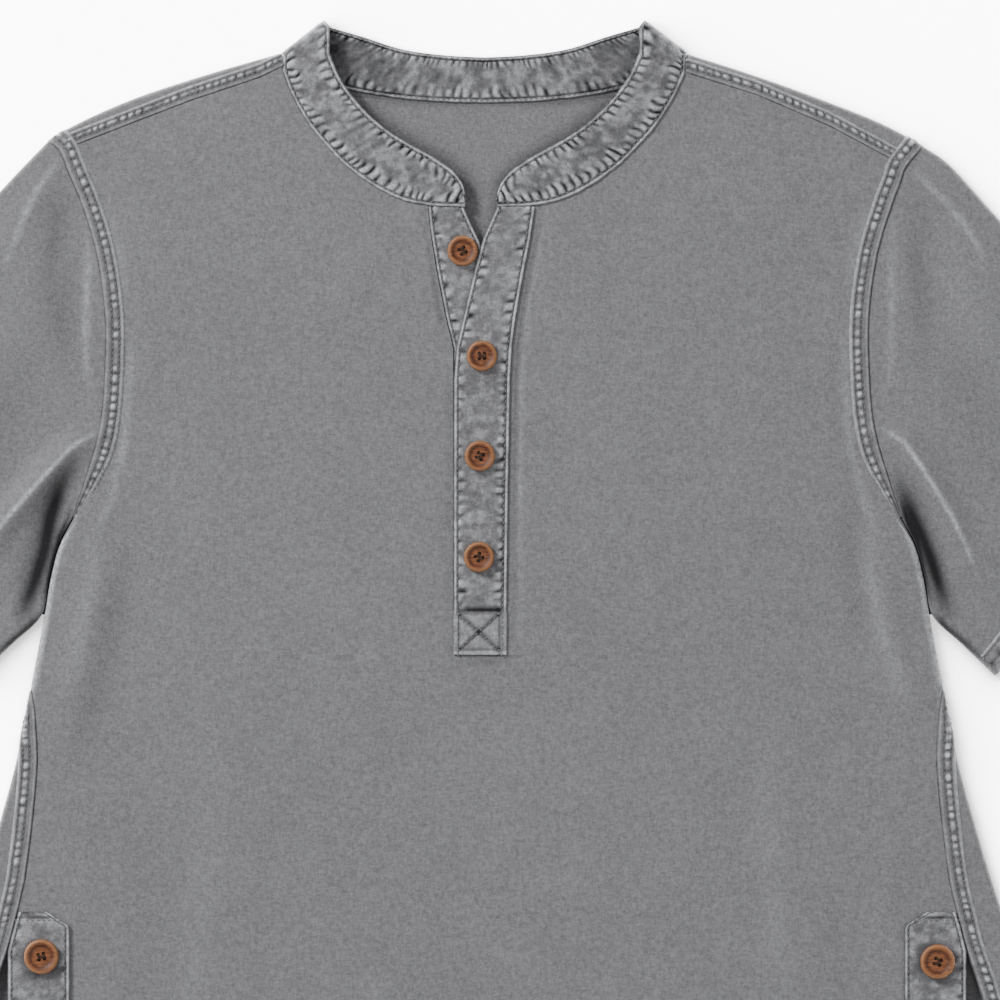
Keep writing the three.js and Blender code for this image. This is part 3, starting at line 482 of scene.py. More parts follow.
class Nodes:
    """A few words for building a node material."""

    def __init__(self, name):
        self.material = bpy.data.materials.new(name)
        self.material.use_nodes = True
        self.tree = self.material.node_tree
        self.shader = self.tree.nodes["Principled BSDF"]

    def add(self, kind, settings=None, **inputs):
        node = self.tree.nodes.new(kind)
        for key, value in (settings or {}).items():
            setattr(node, key, value)
        for key, value in inputs.items():
            self.give(node.inputs[key.replace("_", " ")], value)
        return node

    def give(self, socket, value):
        if isinstance(value, bpy.types.NodeSocket):
            self.tree.links.new(value, socket)
        else:
            socket.default_value = value

    def wear_and_painted_light(self):
        return self.add("ShaderNodeAttribute", {"attribute_name": "wear_and_painted_light"}).outputs["Fac"]

    def clamped(self, value):
        return self.add("ShaderNodeClamp", Value=value).outputs["Result"]

    def grey(self, tone):
        return self.add("ShaderNodeCombineColor", Red=tone, Green=tone, Blue=tone).outputs["Color"]

    def finish(self, **values):
        """Gives the shader's inputs, and returns the material."""
        for key, value in values.items():
            self.give(self.shader.inputs[key.replace("_", " ")], value)
        return self.material

    def place(self, scale=(1, 1, 1), turn=0.0):
        coordinates = self.add("ShaderNodeTexCoord").outputs["Object"]
        mapping = self.add("ShaderNodeMapping", Vector=coordinates, Scale=scale)
        mapping.inputs["Rotation"].default_value = (0, 0, turn)
        return mapping.outputs["Vector"]

    def noise(self, scale, detail=3.0, roughness=0.55, stretch=(1, 1, 1), turn=0.0):
        place = self.place(stretch, turn)
        return self.add("ShaderNodeTexNoise", Vector=place, Scale=scale, Detail=detail,
                        Roughness=roughness).outputs["Fac"]

    def range(self, value, low, high, to_low=0.0, to_high=1.0):
        node = self.add("ShaderNodeMapRange", Value=value)
        for key, number in (("From Min", low), ("From Max", high), ("To Min", to_low), ("To Max", to_high)):
            node.inputs[key].default_value = number
        return node.outputs["Result"]

    def math(self, operation, first, second=0.0):
        node = self.add("ShaderNodeMath", {"operation": operation})
        self.give(node.inputs[0], first)
        self.give(node.inputs[1], second)
        return node.outputs["Value"]

    def times(self, first, *others):
        for other in others:
            first = self.math("MULTIPLY", first, other)
        return first

    def blend(self, share, first, second, kind="MIX"):
        node = self.add("ShaderNodeMix", {"data_type": "RGBA", "blend_type": kind})
        self.give(node.inputs["Factor"], share)
        self.give(node.inputs[FIRST_COLOUR], first)
        self.give(node.inputs[SECOND_COLOUR], second)
        return node.outputs[MIXED_COLOUR]


def washed_cotton(name, base, rubbed_and_highlit, dark, marbling=0.0):
    """Grey cotton with a heathered grain, pale where rubbed and under painted highlights, dark with painted
    shade in hollows.
    """
    nodes = Nodes(name)
    wear_and_painted_light = nodes.wear_and_painted_light()
    warp = nodes.noise(900, 2, stretch=(1, 0.42, 1), turn=0.5)
    weft = nodes.noise(900, 2, stretch=(0.42, 1, 1), turn=0.3)
    speck = nodes.noise(1200, 2)
    mottle = nodes.noise(330, 2)
    cloud = nodes.noise(26, 4, 0.6)
    patches = nodes.noise(7, 3, 0.5)
    grain = nodes.math("ADD", nodes.times(warp, 0.34), nodes.times(weft, 0.34))
    grain = nodes.math("ADD", grain, nodes.times(speck, 0.32))
    fine = nodes.range(grain, 0.38, 0.62, 0.74, 1.26)
    soft = nodes.times(nodes.range(cloud, 0.3, 0.7, 0.97, 1.03), nodes.range(mottle, 0.32, 0.68, 0.93, 1.07))
    broad = nodes.range(patches, 0.3, 0.7, 0.975, 1.025)
    frayed = nodes.range(nodes.noise(420, 3, 0.65), 0.34, 0.62, 0.45, 1.15)
    marbled = nodes.range(nodes.noise(230, 4, 0.66), 0.47, 0.6, 0.0, marbling)
    # Rubbed wear and painted highlights above 0, with the cloth's own marbling, turn it pale
    paleness = nodes.clamped(nodes.math("ADD", nodes.times(wear_and_painted_light, frayed), marbled))
    colour = nodes.blend(paleness, base, rubbed_and_highlit)
    # Painted shade below 0 darkens it
    colour = nodes.blend(nodes.clamped(nodes.times(wear_and_painted_light, -1.0)), colour, dark)
    colour = nodes.blend(1.0, colour, nodes.grey(nodes.times(fine, soft, broad)), "MULTIPLY")
    weave = nodes.add("ShaderNodeBump", Height=grain, Distance=0.00035, Strength=0.55)
    coarse = nodes.add("ShaderNodeBump", Height=cloud, Distance=0.0006, Strength=0.25,
                       Normal=weave.outputs["Normal"])
    return nodes.finish(Base_Color=colour, Normal=coarse.outputs["Normal"], Roughness=0.92,
                        Specular_IOR_Level=0.2, Sheen_Weight=0.12, Sheen_Roughness=0.5)


def turned_wood(name):
    """Copper-brown wood with streaked grain, a paler rim, and painted shade in the ring that dips to its
    face.
    """
    nodes = Nodes(name)
    wear_and_painted_light = nodes.wear_and_painted_light()
    streaks = nodes.noise(260, 4, 0.6, stretch=(1, 3.4, 1), turn=0.7)
    fibres = nodes.noise(900, 3, 0.6, stretch=(1, 5, 1), turn=0.7)
    colour = nodes.blend(nodes.range(streaks, 0.35, 0.65), linear(94, 51, 27), linear(160, 96, 54))
    colour = nodes.blend(nodes.range(fibres, 0.45, 0.7, 0, 0.5), colour, linear(78, 38, 20))
    # A paler rim above 0, and painted shade below 0 in the ring that dips to the face
    colour = nodes.blend(nodes.times(nodes.clamped(wear_and_painted_light), 0.62), colour, linear(180, 128, 86))
    colour = nodes.blend(nodes.clamped(nodes.times(wear_and_painted_light, -1.0)), colour, linear(52, 25, 14))
    bump = nodes.add("ShaderNodeBump", Height=fibres, Distance=0.0003, Strength=0.5)
    return nodes.finish(Base_Color=colour, Normal=bump.outputs["Normal"],
                        Roughness=nodes.range(streaks, 0.3, 0.7, 0.38, 0.56))


def sewing_thread(name, colour):
    nodes = Nodes(name)
    twist = nodes.noise(2600, 2)
    tint = nodes.grey(nodes.range(twist, 0.3, 0.7, 0.8, 1.2))
    bump = nodes.add("ShaderNodeBump", Height=twist, Distance=0.0002, Strength=0.4)
    return nodes.finish(Base_Color=nodes.blend(1.0, colour, tint, "MULTIPLY"), Normal=bump.outputs["Normal"],
                        Roughness=0.7)


def floor_with_painted_shadow(name):
    """White paper that glows, with a soft painted shadow on the side of the cloth that is away from the key
    light.
    """
    nodes = Nodes(name)
    tint = nodes.grey(nodes.range(nodes.noise(3, 2), 0.3, 0.7, 0.93, 0.95))
    to_light = nodes.add("ShaderNodeCombineXYZ", X=-0.52, Y=0.62, Z=0.59).outputs["Vector"]
    # Its glow is dimmed where the cloth hides the sky towards the key light: a painted shadow
    painted_shadow = nodes.add("ShaderNodeAmbientOcclusion", {"samples": 6}, Distance=0.08, Normal=to_light)
    glow = nodes.range(painted_shadow.outputs["AO"], 0.72, 1.0, 0.6, 9.5)
    return nodes.finish(Base_Color=tint, Roughness=0.9, Specular_IOR_Level=0.1, Emission_Color=(1, 1, 1, 1),
                        Emission_Strength=glow)


# The cloth's grey, the pale of its rubbed wear and painted highlights, and the dark of its painted shade
GREY, RUBBED_AND_HIGHLIT, PAINTED_SHADE = linear(130, 130, 132), linear(208, 209, 213), linear(34, 34, 36)
BODY = washed_cotton("body_cloth", GREY, RUBBED_AND_HIGHLIT, PAINTED_SHADE)
SLEEVE = washed_cotton("sleeve_cloth", GREY, RUBBED_AND_HIGHLIT, PAINTED_SHADE)
BAND = washed_cotton("band_cloth", linear(123, 123, 126), RUBBED_AND_HIGHLIT, PAINTED_SHADE, marbling=0.2)
WOOD = turned_wood("button_wood")
THREAD = sewing_thread("grey_thread", linear(128, 128, 130))
BUTTON_THREAD = sewing_thread("button_thread", linear(58, 40, 32))


# Stitches, made by geometry nodes along a curve
def stitch_tree():
    tree = bpy.data.node_groups.new("StitchRow", "GeometryNodeTree")
    face = tree.interface
    face.new_socket("Geometry", in_out="INPUT", socket_type="NodeSocketGeometry")
    for name in ("Pitch", "Stitch length", "Thread radius"):
        face.new_socket(name, in_out="INPUT", socket_type="NodeSocketFloat")
    face.new_socket("Material", in_out="INPUT", socket_type="NodeSocketMaterial")
    face.new_socket("Geometry", in_out="OUTPUT", socket_type="NodeSocketGeometry")

    def node(kind, **settings):
        made = tree.nodes.new(kind)
        for key, value in settings.items():
            setattr(made, key, value)
        return made

    source, sink = node("NodeGroupInput"), node("NodeGroupOutput")
    resample = node("GeometryNodeResampleCurve", mode="LENGTH")
    tangent = node("GeometryNodeInputTangent")
    align = node("FunctionNodeAlignRotationToVector", axis="X")
    wobble = node("FunctionNodeRandomValue", data_type="FLOAT_VECTOR")
    turn = node("FunctionNodeRotateRotation", rotation_space="LOCAL")
    ball = node("GeometryNodeMeshUVSphere")
    half = node("ShaderNodeMath", operation="MULTIPLY")
    size = node("ShaderNodeCombineXYZ")
    shape = node("GeometryNodeTransform")
    place = node("GeometryNodeInstanceOnPoints")
    real = node("GeometryNodeRealizeInstances")
    rounded = node("GeometryNodeSetShadeSmooth")
    paint = node("GeometryNodeSetMaterial")
    for owner, entry, value in (
        (wobble, "Min", (-0.06, -0.04, -0.12)), (wobble, "Max", (0.06, 0.04, 0.12)), (wobble, "Seed", 11),
        (ball, "Segments", 6), (ball, "Rings", 4), (ball, "Radius", 1.0), (half, 1, 0.5),
    ):
        owner.inputs[entry].default_value = value
    for start, output, end, entry in (
        (source, "Geometry", resample, "Curve"), (source, "Pitch", resample, "Length"),
        (tangent, "Tangent", align, "Vector"), (align, "Rotation", turn, "Rotation"),
        (wobble, "Value", turn, "Rotate By"), (source, "Stitch length", half, 0), (half, "Value", size, "X"),
        (source, "Thread radius", size, "Y"), (source, "Thread radius", size, "Z"),
        (ball, "Mesh", shape, "Geometry"), (size, "Vector", shape, "Scale"),
        (resample, "Curve", place, "Points"), (shape, "Geometry", place, "Instance"),
        (turn, "Rotation", place, "Rotation"), (place, "Instances", real, "Geometry"),
        (real, "Geometry", rounded, "Geometry"),
        (rounded, "Geometry", paint, "Geometry"), (source, "Material", paint, "Material"),
        (paint, "Geometry", sink, "Geometry"),
    ):
        tree.links.new(start.outputs[output], end.inputs[entry])
    return tree


STITCHES = stitch_tree()


def stitch(name, lines, pitch=3.0, length=2.1, radius=0.3, thread=THREAD):
    """Rows of stitches along lines of points, as one plain mesh."""
    curve = bpy.data.curves.new(name + "_path", "CURVE")
    curve.dimensions = "3D"
    for line in lines:
        path = curve.splines.new("POLY")
        path.points.add(len(line) - 1)
        flat = np.concatenate([np.asarray(line) * MM, np.ones((len(line), 1))], axis=1)
        path.points.foreach_set("co", flat.ravel())
    guide = in_scene(name + "_path", curve)
    modifier = guide.modifiers.new("stitches", "NODES")
    modifier.node_group = STITCHES
    values = {"Pitch": pitch * MM, "Stitch length": length * MM, "Thread radius": radius * MM}
    values["Material"] = thread
    for item in STITCHES.interface.items_tree:
        if item.in_out == "INPUT" and item.name in values:
            modifier[item.identifier] = values[item.name]
    evaluated = guide.evaluated_get(bpy.context.evaluated_depsgraph_get())
    mesh = bpy.data.meshes.new_from_object(evaluated)
    mesh.name = name
    bpy.data.objects.remove(guide)
    return in_scene(name, mesh)


# Relief of sewn cloth: s runs along it and w across, and its tone is above 0 where rubbed and under painted
# highlights, and below 0 where painted shade lies in hollows
def groove(w, at, width=0.7):
    """A soft line along a band: 1 on it, falling to 0 on both sides."""
    return np.exp(-(((w - at) / width) ** 2))


def streaks(w, table):
    """Rubbed wear and painted light and shade along a band, from a table of place across it, breadth and
    tone.
    """
    return sum(tone * groove(w, at, breadth) for at, breadth, tone in table)


def beads(s, pitch, seed):
    """Uneven puckers along a seam, from 0 to 1."""
    phase = 2 * math.pi * s / pitch + 1.9 * noise(s / (2.6 * pitch), np.zeros_like(s), seed)
    strength = 0.72 + 0.38 * noise(s / (1.7 * pitch), np.full_like(s, 7.5), seed + 1)
    return np.clip(0.5 + 0.5 * np.sin(phase), 0, 1) ** 1.3 * strength


def ladder(s, pitch, seed, uneven=0.75):
    """Puffs of cloth between stitches, and the dark gaps that part them, both uneven and from 0 to 1."""
    phase = s / pitch + 0.55 * noise(s / (2.1 * pitch), np.zeros_like(s) + 0.5, seed)
    strength = np.clip(0.72 + uneven * noise(s / (1.3 * pitch), np.full_like(s, 7.5), seed + 1), 0.1, 1.25)
    from_gap = np.abs(phase - np.floor(phase) - 0.5)
    gap = np.exp(-((from_gap / 0.14) ** 2)) * strength
    puff = np.clip((from_gap - 0.1) / 0.3, 0, 1) * strength
    return puff, gap


# Across a felled seam of full width: its beads of cloth, and the rows of stitches on both sides of them
BEAD_AT, BEAD_BREADTH, BEAD_PITCH = 6.3, 1.3, 5.0
BEAD_ROWS, BEAD_ROW_BREADTH = (4.4, 8.2), 0.62


def felled_relief(s, w, width, seed):
    """A felled seam: a plain fold, then a row of beads of cloth between two rows of stitches."""
    scale = width / FELL_WIDTH
    puff, gap = ladder(s, BEAD_PITCH, seed, 1.0)
    column = groove(w, BEAD_AT * scale, BEAD_BREADTH * scale)
    rows = sum(groove(w, row * scale, BEAD_ROW_BREADTH) for row in BEAD_ROWS)
    relief = 0.7 * np.clip(np.minimum(w, width - w) / 0.9, 0, 1)
    relief += 0.8 * puff * column - 0.3 * gap * column - 0.45 * rows + 0.1 * noise(s / 3, w / 3, seed + 4)
    # Its tone: painted highlights on the beads and the far edge, and painted shade in the gaps, the stitch
    # rows and along the seam line
    wear_and_painted_light = 1.25 * puff * column - 0.75 * gap * column - 0.62 * rows * (1.1 - 0.5 * puff)
    wear_and_painted_light += streaks(w, ((0.2, 0.55, -0.75), (1.5 * scale, 0.7, 0.3), (3.0 * scale, 0.8, -0.14)))
    wear_and_painted_light += 0.5 * groove(w, width - 0.9, 0.9) + 0.14 * noise(s / 5, w / 3, seed + 5)
    return relief, wear_and_painted_light


# Where a band's stitches sink in, and its crumpling: height, length along and across, and seed
BAND_STITCH_AT = 2.2
CRUMPLES = [(0.8, 5, 4, 20), (0.5, 2.6, 3, 21), (0.7, 2.4, 7, 22), (0.5, 1.7, 1.9, 23)]


def band_relief(s, w, width, seed, reach, pitch, strength=1.0, crumpled=1.0, uneven=0.75):
    """A topstitched band: pale puffs run in from both edges, and its middle is crumpled.

    Reach and pitch are those of the puffs from the first edge and from the last.
    """
    relief = 0.35 * np.clip(np.minimum(w, width - w) / 1.2, 0, 1)
    wear_and_painted_light = np.zeros_like(relief)
    for from_edge, shift, depth, spacing in ((w, 0, reach[0], pitch[0]), (width - w, 9, reach[1], pitch[1])):
        sway = s + 1.5 * noise(s / 9, w / 6, seed + shift)
        puff, gap = ladder(sway, spacing, seed + shift, uneven)
        length = depth * (0.8 + 0.4 * noise(s / 5, np.full_like(s, 2.5), seed + shift + 3))
        inwards = np.clip((from_edge - 2.5) / 0.6, 0, 1) * np.clip((length - from_edge) / 2.4, 0, 1)
        relief += (0.6 * puff - 0.5 * gap) * inwards - 0.32 * groove(from_edge, BAND_STITCH_AT)
        paleness = 0.95 + 0.4 * noise(s / 6, w / 9, seed + shift + 5)
        # Tone: puffs pale with painted highlights and rubbed wear; gaps, sunk stitches and the very edge dark
        # with painted shade; a pale line inside the edge
        wear_and_painted_light += strength * (0.75 * puff - 0.9 * gap) * inwards - 0.75 * groove(from_edge, BAND_STITCH_AT, 0.5)
        wear_and_painted_light += 0.85 * paleness * groove(from_edge, 1.05, 0.55) - 0.6 * groove(from_edge, 0.0, 0.45)
    # The crumpling also sets the tone: painted light on its crests and painted shade in its dips
    crumple = sum(
        height * noise(s / along, w / across, seed + shift) for height, along, across, shift in CRUMPLES
    )
    return relief + 0.16 * crumpled * crumple, wear_and_painted_light + 0.32 * crumpled * crumple


def hem_relief(s, w, width, hem, sway_seed, seed):
    """A turned hem: puckers from the fold to past its stitches."""
    pucker = beads(s + 1.5 * noise(s / 9, w / 9, sway_seed), hem["pitch"], seed)
    reach = np.clip((w - hem["start"]) / 2, 0, 1) * np.clip((hem["end"] - w) / hem["fade"], 0, 1)
    rows = sum(groove(w, row) for row in hem["rows"])
    relief = hem["fold"] * np.clip(np.minimum(w, width - w + 0.3), 0, 1)
    relief += hem["puff"] * pucker * reach - 0.35 * rows
    # Tone: puckers pale with rubbed wear and painted highlights, painted shade between them and on the stitch
    # rows, and pale lines along the turn and the edge
    wear_and_painted_light = hem["rub_and_highlight"] * pucker * reach - 0.4 * (1 - pucker) * reach - 0.4 * rows
    wear_and_painted_light += hem["turn_pale"] * groove(w, 0.5, 0.8) + hem["edge_pale"] * groove(w, width - 0.6, 1.0)
    return relief, wear_and_painted_light


def edged_shares(width, fine=0.42, coarse=0.85, margin=3.4):
    """Shares of the way across a band, closer together along its two edges."""
    edge = np.arange(0, margin, fine)
    middle = np.linspace(margin, width - margin, max(int((width - 2 * margin) / coarse), 2))
    return np.concatenate([edge, middle, width - edge[::-1]]) / width


def along_and_across(grid):
    """Length along and across a grid of points, in millimetres, and its width at each row."""
    along = np.concatenate([[0], np.cumsum(np.linalg.norm(np.diff(grid.mean(axis=1), axis=0), axis=1))])
    steps = np.linalg.norm(np.diff(grid, axis=1), axis=2)
    across = np.concatenate([np.zeros((len(grid), 1)), np.cumsum(steps, axis=1)], axis=1)
    return np.broadcast_to(along[:, None], across.shape), across, across[:, -1:]


def line_at(grid, relief, from_start, lift=0.12):
    """A line on a relief at a given distance from the grid's first column (or from its last, if negative)."""
    _, across, width = along_and_across(grid)
    normal = normals_of(grid)
    outer = grid + normal * np.sign(normal[..., 2].mean()) * (relief + lift)[..., None]
    line = []
    for row, places, span in zip(outer, across, width[:, 0]):
        place = from_start if from_start >= 0 else span + from_start
        line.append([np.interp(place, places, row[:, k]) for k in range(3)])
    return np.array(line)


STITCH_LINES = {"body": [], "sleeve": [], "band": []}


def keep(piece, slot, *nodes):
    """Says what a piece rides on and the solids it stands for; the slot argument is not used."""
    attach(piece, "root")
    if nodes:
        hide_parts(*nodes)
    return piece


# Outlines in plan
def armhole_line(side):
    tip, seam_end = SHOULDER[side]["tip"], SHOULDER[side]["seam_end"]
    last = mix(np.array(ARMHOLE[-1]), np.array(seam_end), ARMHOLE_TURN)
    return spline(ARMHOLE + [last, seam_end, tip], 200)


ARMHOLES = {side: armhole_line(side) for side, _ in SIDES}


def upper_edge(side, y):
    """The front's outer edge above the underarm: armhole, then shoulder seam, and on past the neck."""
    shoulder = SHOULDER[side]
    end_x, end_y = shoulder["seam_end"]
    armhole = ARMHOLES[side][ARMHOLES[side][:, 1] < end_y - 0.5]
    seam = [point for point in zip(shoulder["x"], shoulder["seam"]) if point[0] <= end_x][::-1]
    past_neck = (shoulder["x"][0] - 10, shoulder["seam"][0] + 4)
    line = np.concatenate([armhole, np.array(seam + [past_neck])])
    return np.interp(y, line[:, 1], line[:, 0])


def collar_centre(y):
    """The middle line of the neck, which leans a little to the wearer's right at the front."""
    return np.interp(y, COLLAR_CENTRE["y"], COLLAR_CENTRE["x"])


def neck_line(side, front):
    if front:
        points = [COLLAR_FOLD["seam"]] + COLLAR_FRONT["seam"]
    else:
        points = COLLAR_BACK["seam"] + [COLLAR_BACK["seam_end"]]
    line = spline(points, 120)
    return np.stack([side * line[:, 0] + collar_centre(line[:, 1]), line[:, 1]], axis=1)


MIDDLE_X = -4.0
WINDOW_TOP_Y = 271.6


def front_inner_edge(side, y):
    """The front's inner edge: the middle line, the placket's window, then the neck seam."""
    if y <= PLACKET_BOTTOM_Y - SEAM_GAP:
        return MIDDLE_X
    if side == LEFT:
        window = np.interp(y, OVERLAP["y"], OVERLAP["right"])
    else:
        window = min(np.interp(y, UNDERLAP["y"], UNDERLAP["left"]), OVERLAP["left"][0])
    if y <= WINDOW_TOP_Y:
        return window + side * SEAM_GAP / 3
    neck = neck_line(side, True)[::-1]
    return max(window * side, float(np.interp(y, neck[:, 1], side * neck[:, 0]))) * side


def back_inner_edge(side, y):
    neck = neck_line(side, False)
    return float(np.interp(y, neck[:, 1], neck[:, 0])) if y > neck[0, 1] else COLLAR_BACK_X


def row_heights(low, high, step, extra=()):
    places = set(np.round(np.linspace(low, high, int((high - low) / step) + 1), 3))
    return np.array(sorted(places | set(np.round(extra, 3))))


# The painted highlight along the side fold: its tone, place round the fold, breadth, and the heights where it
# fades
FOLD_HIGHLIGHT = {"tone": 1.15, "at": 0.8 * HALF_TURN, "breadth": 1.5, "y": [-12, 13, 100, 106]}


def body_front_half(side):
    corners = [y + nudge for y in (PLACKET_BOTTOM_Y - SEAM_GAP, WINDOW_TOP_Y) for nudge in (-0.02, 0.02)]
    fine = [*corners, *np.arange(270, 286, 1.0), *np.arange(84, 108, 2.0)]
    shares = np.linspace(0, 1, 78) ** 1.15
    rows, fold_highlights = [], []
    for y in row_heights(HEM_Y, SHOULDER[side]["seam"][0] + 1, 4.0, fine):
        inner = side * front_inner_edge(side, y)
        if VENT_TOP_Y < y <= UNDERARM_Y:
            start = float(seam_reach(y)) + SEAM_GAP / 3
            end = HALF_TURN + float(half_width(y)) - FOLD_RADIUS - inner
            reach = mix(start, end, shares)
            rows.append(on_side(side, reach, np.full_like(reach, y)))
            # Painted highlight along the nose of the side fold
            fade = np.interp(y, FOLD_HIGHLIGHT["y"], [0, 1, 1, 0])
            fold_highlights.append(FOLD_HIGHLIGHT["tone"] * fade * groove(reach, FOLD_HIGHLIGHT["at"], FOLD_HIGHLIGHT["breadth"]))
        else:
            outer = VENT_EDGE_X if y <= VENT_TOP_Y else float(upper_edge(side, y)) - SEAM_GAP / 2
            x = side * mix(outer, inner, shares)
            rows.append(on_cloth(x, np.full_like(x, y)))
            fold_highlights.append(np.zeros_like(x))
    grid = np.array(rows)
    return grid, np.array(fold_highlights) + shades(BODY_SHADES, grid[..., 0], grid[..., 1])


def body_front():
    halves = []
    for side, word in SIDES:
        grid, wear_and_painted_light = body_front_half(side)
        halves.append(shell("front_" + word, grid, BODY, wear_and_painted_light=wear_and_painted_light))
    return keep(joined("front_panel", halves), "body_cloth", "front")


def back_low(side):
    """The back up to the underarm: its ground, the round side fold, and what comes round onto the front."""
    rows = []
    for y in row_heights(HEM_Y, UNDERARM_Y, 6, np.arange(84, 100, 2.0)):
        fold = (float(seam_reach(y)) - SEAM_GAP / 3) * np.linspace(0, 1, 26) ** 1.2
        half = float(half_width(y)) - FOLD_RADIUS - side * COLLAR_BACK_X
        reach = np.concatenate([-half * np.linspace(1, 0, 24, endpoint=False), fold])
        rows.append(on_side(side, reach, np.full_like(reach, y)))
    return np.array(rows)


# Where the back's single layer ends, and how far out it keeps inside the shoulder's fold
BACK_TOP_Y, SHOULDER_FOLD_X = 352.5, 240


def back_high(side):
    """The back's single layer above the underarm, seen inside the neck."""
    line = ARMHOLES[side]
    edge_x, edge_y = SHOULDER[side]["x"], np.array(SHOULDER[side]["edge"]) - FOLD_RADIUS
    neck_y = COLLAR_BACK["seam"][0][1]
    rows = []
    for y in row_heights(UNDERARM_Y, BACK_TOP_Y, 3.2, [neck_y - 0.1, neck_y + 0.1]):
        outer = np.interp(y, line[:, 1], line[:, 0]) - SEAM_GAP / 2
        if y > np.interp(SHOULDER_FOLD_X, edge_x, edge_y):
            outer = min(outer, float(np.interp(-y, -edge_y, edge_x)))
        x = mix(side * outer, back_inner_edge(side, y), np.linspace(0, 1, 84))
        rows.append(np.stack([x, np.full_like(x, y), np.full_like(x, CLOTH)], axis=-1))
    return np.array(rows)


def shoulder_fold(side):
    """The back's cloth round the shoulder, from the ground to the seam on the front."""
    shoulder = SHOULDER[side]
    armhole = ARMHOLES[side][ARMHOLES[side][:, 1] > 290]
    rows = []
    for x in np.linspace(shoulder["x"][0] - 2, shoulder["tip"][0], 60):
        edge = float(curve_table(shoulder, "x", "edge", x))
        drop = edge - float(np.interp(x, shoulder["x"], shoulder["seam"]))
        if x > shoulder["seam_end"][0]:
            drop = max(edge - float(np.interp(x, armhole[:, 0], armhole[:, 1])), FOLD_RADIUS)
        reach = (HALF_TURN + drop - FOLD_RADIUS - SEAM_GAP / 2) * np.linspace(0, 1, 24)
        rows.append(on_shoulder(side, reach, np.full_like(reach, x)))
    return np.array(rows)


def body_back():
    parts = []
    for side, word in SIDES:
        high = back_high(side)
        neck_painted_shade = shades(NECK_SHADES, high[..., 0], high[..., 1])
        # The back's inner face gets painted shade, which shows inside the vents
        parts.append(shell("back_low_" + word, back_low(side), BODY, inner_wear_and_painted_light=-0.5, down_first=True))
        parts.append(shell("back_high_" + word, high, BODY, wear_and_painted_light=neck_painted_shade))
        parts.append(shell("shoulder_fold_" + word, shoulder_fold(side), BODY, down_first=True))
    return keep(joined("back_panel", parts), "body_cloth", "back")


# Sleeves
RING_ROWS, TOP_STEPS, GROUND_STEPS = 108, 130, 20
NOSE = np.radians([75, 60, 45, 30, 15, 0, -15, -30, -45, -60, -75])


def sleeve_plan(side):
    """Maps (out from the armhole to the cuff, down from the top fold to the under fold) to the plan."""
    shifted = [(x + SEAM_GAP / 2, y) for x, y in ARMHOLES[side][::-1]]
    even = np.linspace(0, 1, 300)
    lines = {
        "armhole": spaced(np.array(shifted), len(even)),
        "cuff": spaced(np.array([CUFF_TOP, CUFF_BOTTOM], float), len(even)),
        "top": spline([shifted[0]] + SLEEVE_TOP_FOLD + [CUFF_TOP], len(even)),
        "under": spline([shifted[-1]] + SLEEVE_UNDER_FOLD + [CUFF_BOTTOM], len(even)),
    }

    def at(line, share):
        return np.stack([np.interp(share, even, lines[line][:, k]) for k in range(2)], axis=-1)

    def plan(out, down):
        out, down = np.broadcast_arrays(np.asarray(out, float), np.asarray(down, float))
        o, d = out[..., None], down[..., None]
        ends = at("armhole", down) * (1 - o) + at("cuff", down) * o
        folds = at("top", out) * (1 - d) + at("under", out) * d
        at_armhole = lines["armhole"][0] * (1 - d) + lines["armhole"][-1] * d
        at_cuff = lines["cuff"][0] * (1 - d) + lines["cuff"][-1] * d
        return ends + folds - at_armhole * (1 - o) - at_cuff * o
    return plan


def sleeve_top(side, plan, out, down):
    """The sleeve's upper face, which stands a little full away from the armhole."""
    point = plan(out, down)
    x, y = side * point[..., 0], point[..., 1]
    fullness = SLEEVE_FULLNESS * np.sin(math.pi * np.clip(down, 0, 1)) * smooth(np.minimum(out * 2.5, 1))
    return np.stack([x, y, cloth_top(x, y) + fullness], axis=-1)


def sleeve(side, word):
    plan = sleeve_plan(side)
    up_the_nose = (1 + np.sin(NOSE)) / 2
    lift = np.concatenate([np.ones(TOP_STEPS), up_the_nose, np.zeros(GROUND_STEPS), up_the_nose[::-1]])
    rows = []
    for out in np.linspace(0, 1, RING_ROWS):
        margin = FOLD_RADIUS / np.linalg.norm(plan(out, 0.0) - plan(out, 1.0))
        nose = margin * (1 - np.cos(NOSE))
        upper = np.linspace(margin, 1 - margin, TOP_STEPS)
        ground = np.linspace(1 - margin, margin, GROUND_STEPS)
        down = np.concatenate([upper, 1 - nose, ground, nose[::-1]])
        line = sleeve_top(side, plan, np.full_like(down, out), down)
        line[:, 2] *= lift
        rows.append(line)
    grid = np.array(rows)
    # Painted highlights, painted shade and rubbed streaks, on the upper face only
    wear_and_painted_light = shades(SLEEVE_SHADES, grid[..., 0], grid[..., 1]) * (lift > 0)
    piece = shell("sleeve_panel_" + word, grid, SLEEVE, wear_and_painted_light=wear_and_painted_light, ring=True)
    return keep(piece, "sleeve_cloth", "sleeve_" + word), plan


# The spare cloth of the underarm seam, which narrows to its lower end; its dark tone is painted shade
SPARE = {
    "low_y": 48, "high_y": UNDERARM_Y + 3, "taper": 10,
    "lap": 1.2, "end_lap": 0.3, "height": 1.7, "wall": 0.6, "tone": -0.85,
}


